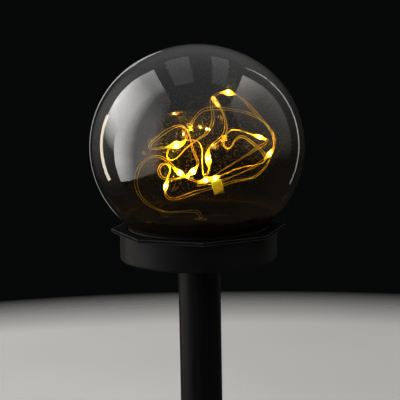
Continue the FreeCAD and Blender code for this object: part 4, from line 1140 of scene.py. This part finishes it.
# %% Resin over the panel
def make_panel_resin():
    material, tree, shader = new_finish(
        "panel_resin_clear", Transmission_Weight=1.0, IOR=1.5, Specular_IOR_Level=0.05
    )
    haze = spots(tree, scale=500)
    # Painted shade: the tint is kept dark so that the panel stays dark under the lights in the globe.
    tint = mottled(tree, haze, (0.40, 0.39, 0.38), (0.48, 0.47, 0.46))
    rough = span(tree, haze, low=0.03, high=0.08)
    waves = raised(tree, spots(tree, scale=120), depth=0.06 * MM)
    set_inputs(tree, shader, Base_Color=tint, Roughness=rough, Normal=waves)
    pass_shadow_rays(tree, shader, (0.5, 0.48, 0.45))
    return material


dress(make_panel_resin(), "panel_cover")

# %% [markdown]
# The panel's backing and the circuit board are the same stuff: glass cloth in resin under a thin
# coloured mask. The cloth prints through as a fine weave, which is two sets of stripes, and the copper
# traces stand up under the mask as the joints of a brick pattern.

# %% Laminates
WEAVE_PITCH = 0.4 * MM
WEAVE_HEIGHT = 0.2
TRACE_SCALE = 260.0
TRACE_WIDTH = 0.03
TRACE_OFFSET = 0.37


def make_laminate(name, first, second, line):
    material, tree, shader = new_finish(name)
    warp = stripes(tree, "X", WEAVE_PITCH, 0.5)
    weft = stripes(tree, "Y", WEAVE_PITCH, 0.5)
    cloth = combine(tree, "MULTIPLY", combine(tree, "ADD", warp, weft), WEAVE_HEIGHT)
    brick_inputs = {"Vector": object_point(tree), "Scale": TRACE_SCALE, "Mortar Size": TRACE_WIDTH}
    traces = add_node(tree, "TexBrick", brick_inputs, offset=TRACE_OFFSET).outputs["Fac"]
    mask = mottled(tree, spots(tree, scale=130), first, second)
    rough = span(tree, spots(tree, scale=800), low=0.28, high=0.45)
    relief = raised(tree, combine(tree, "ADD", cloth, traces), depth=0.02 * MM)
    set_inputs(tree, shader, Base_Color=two_tone(tree, traces, mask, line), Roughness=rough, Normal=relief)
    return material


panel_black = make_laminate(
    "panel_laminate", (0.002, 0.002, 0.003), (0.003, 0.003, 0.0045), line=(0.006, 0.006, 0.008)
)
dress(panel_black, "panel_board")
board_green = make_laminate(
    "board_laminate", (0.010, 0.090, 0.030), (0.016, 0.125, 0.045), line=(0.03, 0.20, 0.08)
)
dress(board_green, "circuit_board")

# %% [markdown]
# Inside the base are small metal parts: zinc-plated screws, nickel battery springs and the switch's tin
# shell. They share one recipe, so that they look like parts of one kit. Plated steel is a metal with a
# cloudy tone, and its fine brushing is noise that is stretched in one direction.

# %% Plated metal
def make_plated(name, dark, light, rough, stretch):
    material, tree, shader = new_finish(name, Metallic=1.0)
    tone = mottled(tree, spots(tree, scale=260), dark, light)
    brushed = spots(tree, scale=2400, detail=3.0, stretch=stretch)
    scratches = raised(tree, brushed, depth=0.01 * MM)
    set_inputs(tree, shader, Base_Color=tone, Roughness=span(tree, brushed, *rough), Normal=scratches)
    return material


zinc = make_plated("zinc_plate", (0.46, 0.46, 0.45), (0.62, 0.62, 0.60), (0.24, 0.42), (1, 1, 0.3))
dress(zinc, "base_screws", "board_screws")
nickel = make_plated("nickel_plate", (0.58, 0.55, 0.50), (0.72, 0.69, 0.63), (0.18, 0.34), (1, 1, 0.1))
dress(nickel, "battery_contacts")
tin = make_plated("tin_plate", (0.50, 0.50, 0.50), (0.66, 0.66, 0.65), (0.28, 0.46), (0.1, 1, 1))
dress(tin, "switch_body")

# %% [markdown]
# The cell has a shrink sleeve with a pale band at one end, the leads are soft plastic, one dark and one
# red of each pair, and the chip and the coil are paler on top. All of them are two colours that meet at
# one place along an axis, with a cloudy skin and a shallow wrinkle.

# %% Sleeve, leads, chip and coil
GRIME = 0.25
ROUGH_RANGE = 0.15
BAND_START = 16 * MM
CHIP_TOP = 155 * MM
COIL_TOP = 158.2 * MM


def make_split(name, axis, edge, low_colour, high_colour, rough, wrinkle_scale):
    material, tree, shader = new_finish(name)
    side = combine(tree, "GREATER_THAN", axis_value(tree, axis), edge)
    split = two_tone(tree, side, low_colour, high_colour)
    colour = two_tone(tree, span(tree, spots(tree, scale=300), 0.0, GRIME), split, grey(0.02))
    wrinkle = spots(tree, wrinkle_scale)
    gloss = span(tree, wrinkle, rough, rough + ROUGH_RANGE)
    relief = raised(tree, wrinkle, depth=0.04 * MM)
    set_inputs(tree, shader, Base_Color=colour, Roughness=gloss, Normal=relief)
    return material


sleeve = make_split("cell_sleeve", "X", BAND_START, (0.02, 0.16, 0.10), (0.62, 0.62, 0.58), 0.25, 500)
dress(sleeve, "battery_cell")
lead_plastic = make_split("lead_plastic", "X", 0.0, (0.02, 0.02, 0.02), (0.42, 0.015, 0.012), 0.32, 900)
dress(lead_plastic, "panel_leads", "battery_leads")
chip_body = make_split("chip_body", "Z", CHIP_TOP, (0.012, 0.012, 0.013), (0.02, 0.02, 0.021), 0.45, 3000)
dress(chip_body, "control_chip")
ferrite = make_split("ferrite", "Z", COIL_TOP, (0.030, 0.026, 0.024), (0.055, 0.050, 0.046), 0.50, 1800)
dress(ferrite, "inductor")

# %% [markdown]
# The stage is a plain pale floor, and the spike's tip stands on it. It is a disc whose edge fades out,
# so that the dark behind the light comes down to the right height. It is open to mirrored rays, because
# a pale floor would wash out the black plastic, and from below, so that the base can be looked at from
# there.

# %% Floor
FLOOR_RADIUS = 1.02
FLOOR_FADE = 0.16
FLOOR_CORNERS = 128


def make_floor_finish():
    material, tree, shader = new_finish("pale_floor")
    shade = spots(tree, scale=3, detail=2.0)
    tone = mottled(tree, shade, (0.41, 0.41, 0.40), (0.45, 0.45, 0.44))
    set_inputs(tree, shader, Base_Color=tone, Roughness=span(tree, shade, low=0.55, high=0.7))
    reach = length_of(tree, add_node(tree, "TexCoord").outputs["Object"])
    edge = span(tree, reach, 0.0, 1.0, start=FLOOR_RADIUS - FLOOR_FADE, end=FLOOR_RADIUS)
    mirrored = add_node(tree, "LightPath").outputs["Glossy Depth"]
    below = add_node(tree, "NewGeometry").outputs["Backfacing"]
    open_share = combine(tree, "ADD", combine(tree, "ADD", edge, mirrored), below)
    share = combine(tree, "MINIMUM", open_share, 1.0)
    mix = mix_shaders(tree, share, shader, add_node(tree, "BsdfTransparent"))
    tree.links.new(mix.outputs[0], tree.nodes["Material Output"].inputs["Surface"])
    return material


def make_floor(finish):
    form = bmesh.new()
    bmesh.ops.create_circle(form, cap_ends=True, radius=FLOOR_RADIUS, segments=FLOOR_CORNERS)
    mesh = bpy.data.meshes.new("floor")
    form.to_mesh(mesh)
    form.free()
    mesh.materials.append(finish)
    floor = bpy.data.objects.new("floor", mesh)
    floor.location.z = cad_box[0][2]
    scene.collection.objects.link(floor)
    print("floor at", round(floor.location.z, 3))


make_floor(make_floor_finish())

# %% [markdown]
# A clear ball shows its studio: every lamp is seen in it, with its outline and its changes of
# brightness. Real soft boxes are brighter near the bulb, so a lamp here can fade along a direction. A
# fade gives the way, the place of the dark end, the place of the bright end and the least share of
# light, and places are measured from the globe's centre.

# %% Fades
ALONG = (0, 1, 0)
UP = (0, 0, 1)


def fade_lamp(data, fades):
    data.use_nodes = True
    tree = data.node_tree
    place = add_node(tree, "NewGeometry").outputs["Position"]
    strength = 1.0
    for way, dark_end, bright_end, least in fades:
        shift = globe_centre.dot(Vector(way))
        reach = add_node(tree, "VectorMath", {0: place, 1: way}, operation="DOT_PRODUCT").outputs["Value"]
        share = span(tree, reach, least, 1.0, start=dark_end + shift, end=bright_end + shift)
        strength = combine(tree, "MULTIPLY", strength, share)
    if fades:
        tree.links.new(strength, tree.nodes["Emission"].inputs["Strength"])


print("fades are measured from", [round(value, 3) for value in globe_centre])

# %% [markdown]
# A lamp is a flat box of light, given by two corners, and it faces the globe. An area light could be
# sized and turned by hand, but the corners can be compared at once with the outlines of the
# reflections. Its power follows from how bright its face should look. The lamps are hidden from the
# camera and from rays that go through the globe.

# %% Soft boxes
def add_softbox(name, low, high, radiance, colour=(1, 1, 1), lean=0.0, fades=()):
    size = Vector(high) - Vector(low)
    middle = (Vector(low) + Vector(high)) / 2
    flat = min(range(3), key=lambda axis: size[axis])
    aim = Vector((0, 0, 0))
    aim[flat] = -math.copysign(1, middle[flat])
    data = bpy.data.lights.new(name, "AREA")
    data.shape = "RECTANGLE"
    data.size, data.size_y = [size[axis] for axis in range(3) if axis != flat]
    data.energy = radiance * math.pi * data.size * data.size_y
    data.color = colour
    lamp = bpy.data.objects.new(name, data)
    turn = Matrix.Rotation(lean, 4, "X") @ aim.to_track_quat("-Z", "Y").to_matrix().to_4x4()
    lamp.matrix_world = Matrix.Translation(globe_centre + middle) @ turn
    lamp.visible_camera = False
    lamp.visible_transmission = False
    scene.collection.objects.link(lamp)
    fade_lamp(data, fades)
    print(name, "at", [round(value, 2) for value in lamp.location])


LEFT = -1.2
RIGHT = 1.2
print("side lamps stand", RIGHT, "m from the globe")

# %% [markdown]
# On the left stands the main soft box, in two halves that leave a dark window low down between them,
# with a narrow warm strip in the window. Behind them a wall takes a little of their light, which gives
# the globe its faint left rim. The sizes and places were worked back from the shapes of the
# reflections.

# %% Lamps on the left
DAYLIGHT = (1.0, 0.985, 0.97)
CREAM = (1.0, 0.88, 0.66)
dim_top = (UP, 1.7, 0.75, 0.34)
dim_front = (ALONG, -0.42, 0.0, 0.20)
dim_foot = (UP, -0.60, -0.20, 0.50)
front_end = (ALONG, -1.45, -0.95, 0.0)
add_softbox(
    "left_box", (LEFT, -1.45, -0.58), (LEFT, 0.18, 2.47), 6.5, DAYLIGHT,
    fades=(dim_top, dim_front, dim_foot, front_end),
)
back_edge = ((0, 1, -0.41), 0.71, 0.67, 0.0)
window_top = ((0, -0.35, 1), -0.15, 0.31, 0.0)
add_softbox(
    "left_box_back", (LEFT, 0.18, -0.10), (LEFT, 1.72, 2.47), 6.5, DAYLIGHT,
    fades=(dim_top, back_edge, window_top),
)
add_softbox("left_strip", (LEFT, 0.67, -0.56), (LEFT, 0.86, 0.42), 6.5, CREAM, lean=-0.21)
wall_back = (ALONG, 2.4, 0.3, 0.2)
wall_foot = (UP, -0.75, 0.35, 0.05)
wall_top = (UP, 2.0, 0.8, 0.0)
add_softbox(
    "left_wall", (-1.25, 0.2, -0.9), (-1.25, 2.6, 2.0), 0.45, fades=(wall_back, wall_foot, wall_top)
)

# %% [markdown]
# The right side is dimmer: a warm soft box that fades towards its foot, and behind it a tall narrow
# strip that leans with the curve of the globe.

# %% Lamps on the right
WARM_WHITE = (1.0, 0.96, 0.88)
right_top = (UP, 0.90, 1.80, 0.26)
right_foot = (UP, -0.28, 0.90, 0.0)
right_front = (ALONG, -1.2, 0.40, 0.20)
right_edge = ((0, 1, -0.165), 0.54, 0.50, 0.0)
add_softbox(
    "right_box", (RIGHT, -1.2, -0.30), (RIGHT, 0.85, 1.84), 2.6, WARM_WHITE,
    fades=(right_top, right_foot, right_front, right_edge),
)
strip_top = (UP, 1.80, 1.20, 0.45)
strip_foot = (UP, -0.70, 0.10, 0.45)
add_softbox(
    "right_strip", (RIGHT, 1.24, -0.68), (RIGHT, 1.38, 1.78), 1.5, lean=-0.22, fades=(strip_top, strip_foot)
)

# %% [markdown]
# A narrow panel far behind edges the globe with light, and two small panels overhead give the two pale
# patches near its crown.

# %% Lamps behind and above
rim_foot = (UP, -1.4, -0.2, 0.15)
add_softbox("rim_panel", (-0.95, 4.2, -1.4), (-0.30, 4.2, 1.2), 0.72, fades=(rim_foot,))
add_softbox("top_panel_a", (-0.25, -0.11, 0.8), (-0.03, 0.62, 0.8), 0.35)
add_softbox("top_panel_b", (0.17, -0.11, 0.8), (0.34, 0.66, 0.8), 0.35)

# %% [markdown]
# The room itself is dark to the camera and through the globe, as at night, because the lights only read
# as lights against the dark. To other rays it is a soft grey that grows upwards: it fills the shadows,
# and in the gloss of the globe it gives the rim a faint band. Straight behind, low down, that gleam is
# held back.

# %% Room
NIGHT = (0.0022, 0.0024, 0.0026)
GLEAM_CUT = 0.80


def make_room():
    world = bpy.data.worlds.new("room")
    world.use_nodes = True
    scene.world = world
    tree = world.node_tree
    view = add_node(tree, "TexCoord").outputs["Generated"]
    parts = add_node(tree, "SeparateXYZ", {0: view}).outputs
    height = parts["Z"]
    rays = add_node(tree, "LightPath").outputs
    fill = two_tone(tree, span(tree, height, 0, 1, start=-0.4, end=0.9), grey(0.06), (0.42, 0.42, 0.43))
    rise = span(tree, height, 0, 1, start=-0.18, end=0.9)
    gleam = two_tone(tree, rise, (0.06, 0.050, 0.036), (0.42, 0.42, 0.425))
    behind = span(tree, parts["Y"], 0.0, GLEAM_CUT, start=0.2, end=0.9)
    low = span(tree, height, 1.0, 0.0, start=0.1, end=0.55)
    kept = combine(tree, "SUBTRACT", 1.0, combine(tree, "MULTIPLY", behind, low))
    held = add_node(tree, "VectorMath", {0: gleam, "Scale": kept}, operation="SCALE").outputs[0]
    soft_grey = two_tone(tree, rays["Is Glossy Ray"], fill, held)
    soft = add_node(tree, "Background", {"Color": soft_grey, "Strength": 1.0})
    night = add_node(tree, "Background", {"Color": as_colour(NIGHT), "Strength": 1.0})
    seen = combine(tree, "MAXIMUM", rays["Is Camera Ray"], rays["Is Transmission Ray"])
    mix = mix_shaders(tree, seen, soft, night)
    tree.links.new(mix.outputs[0], tree.nodes["World Output"].inputs["Surface"])
    print("room:", len(tree.nodes), "nodes")


make_room()

# %% Finish
bpy.context.view_layer.update()
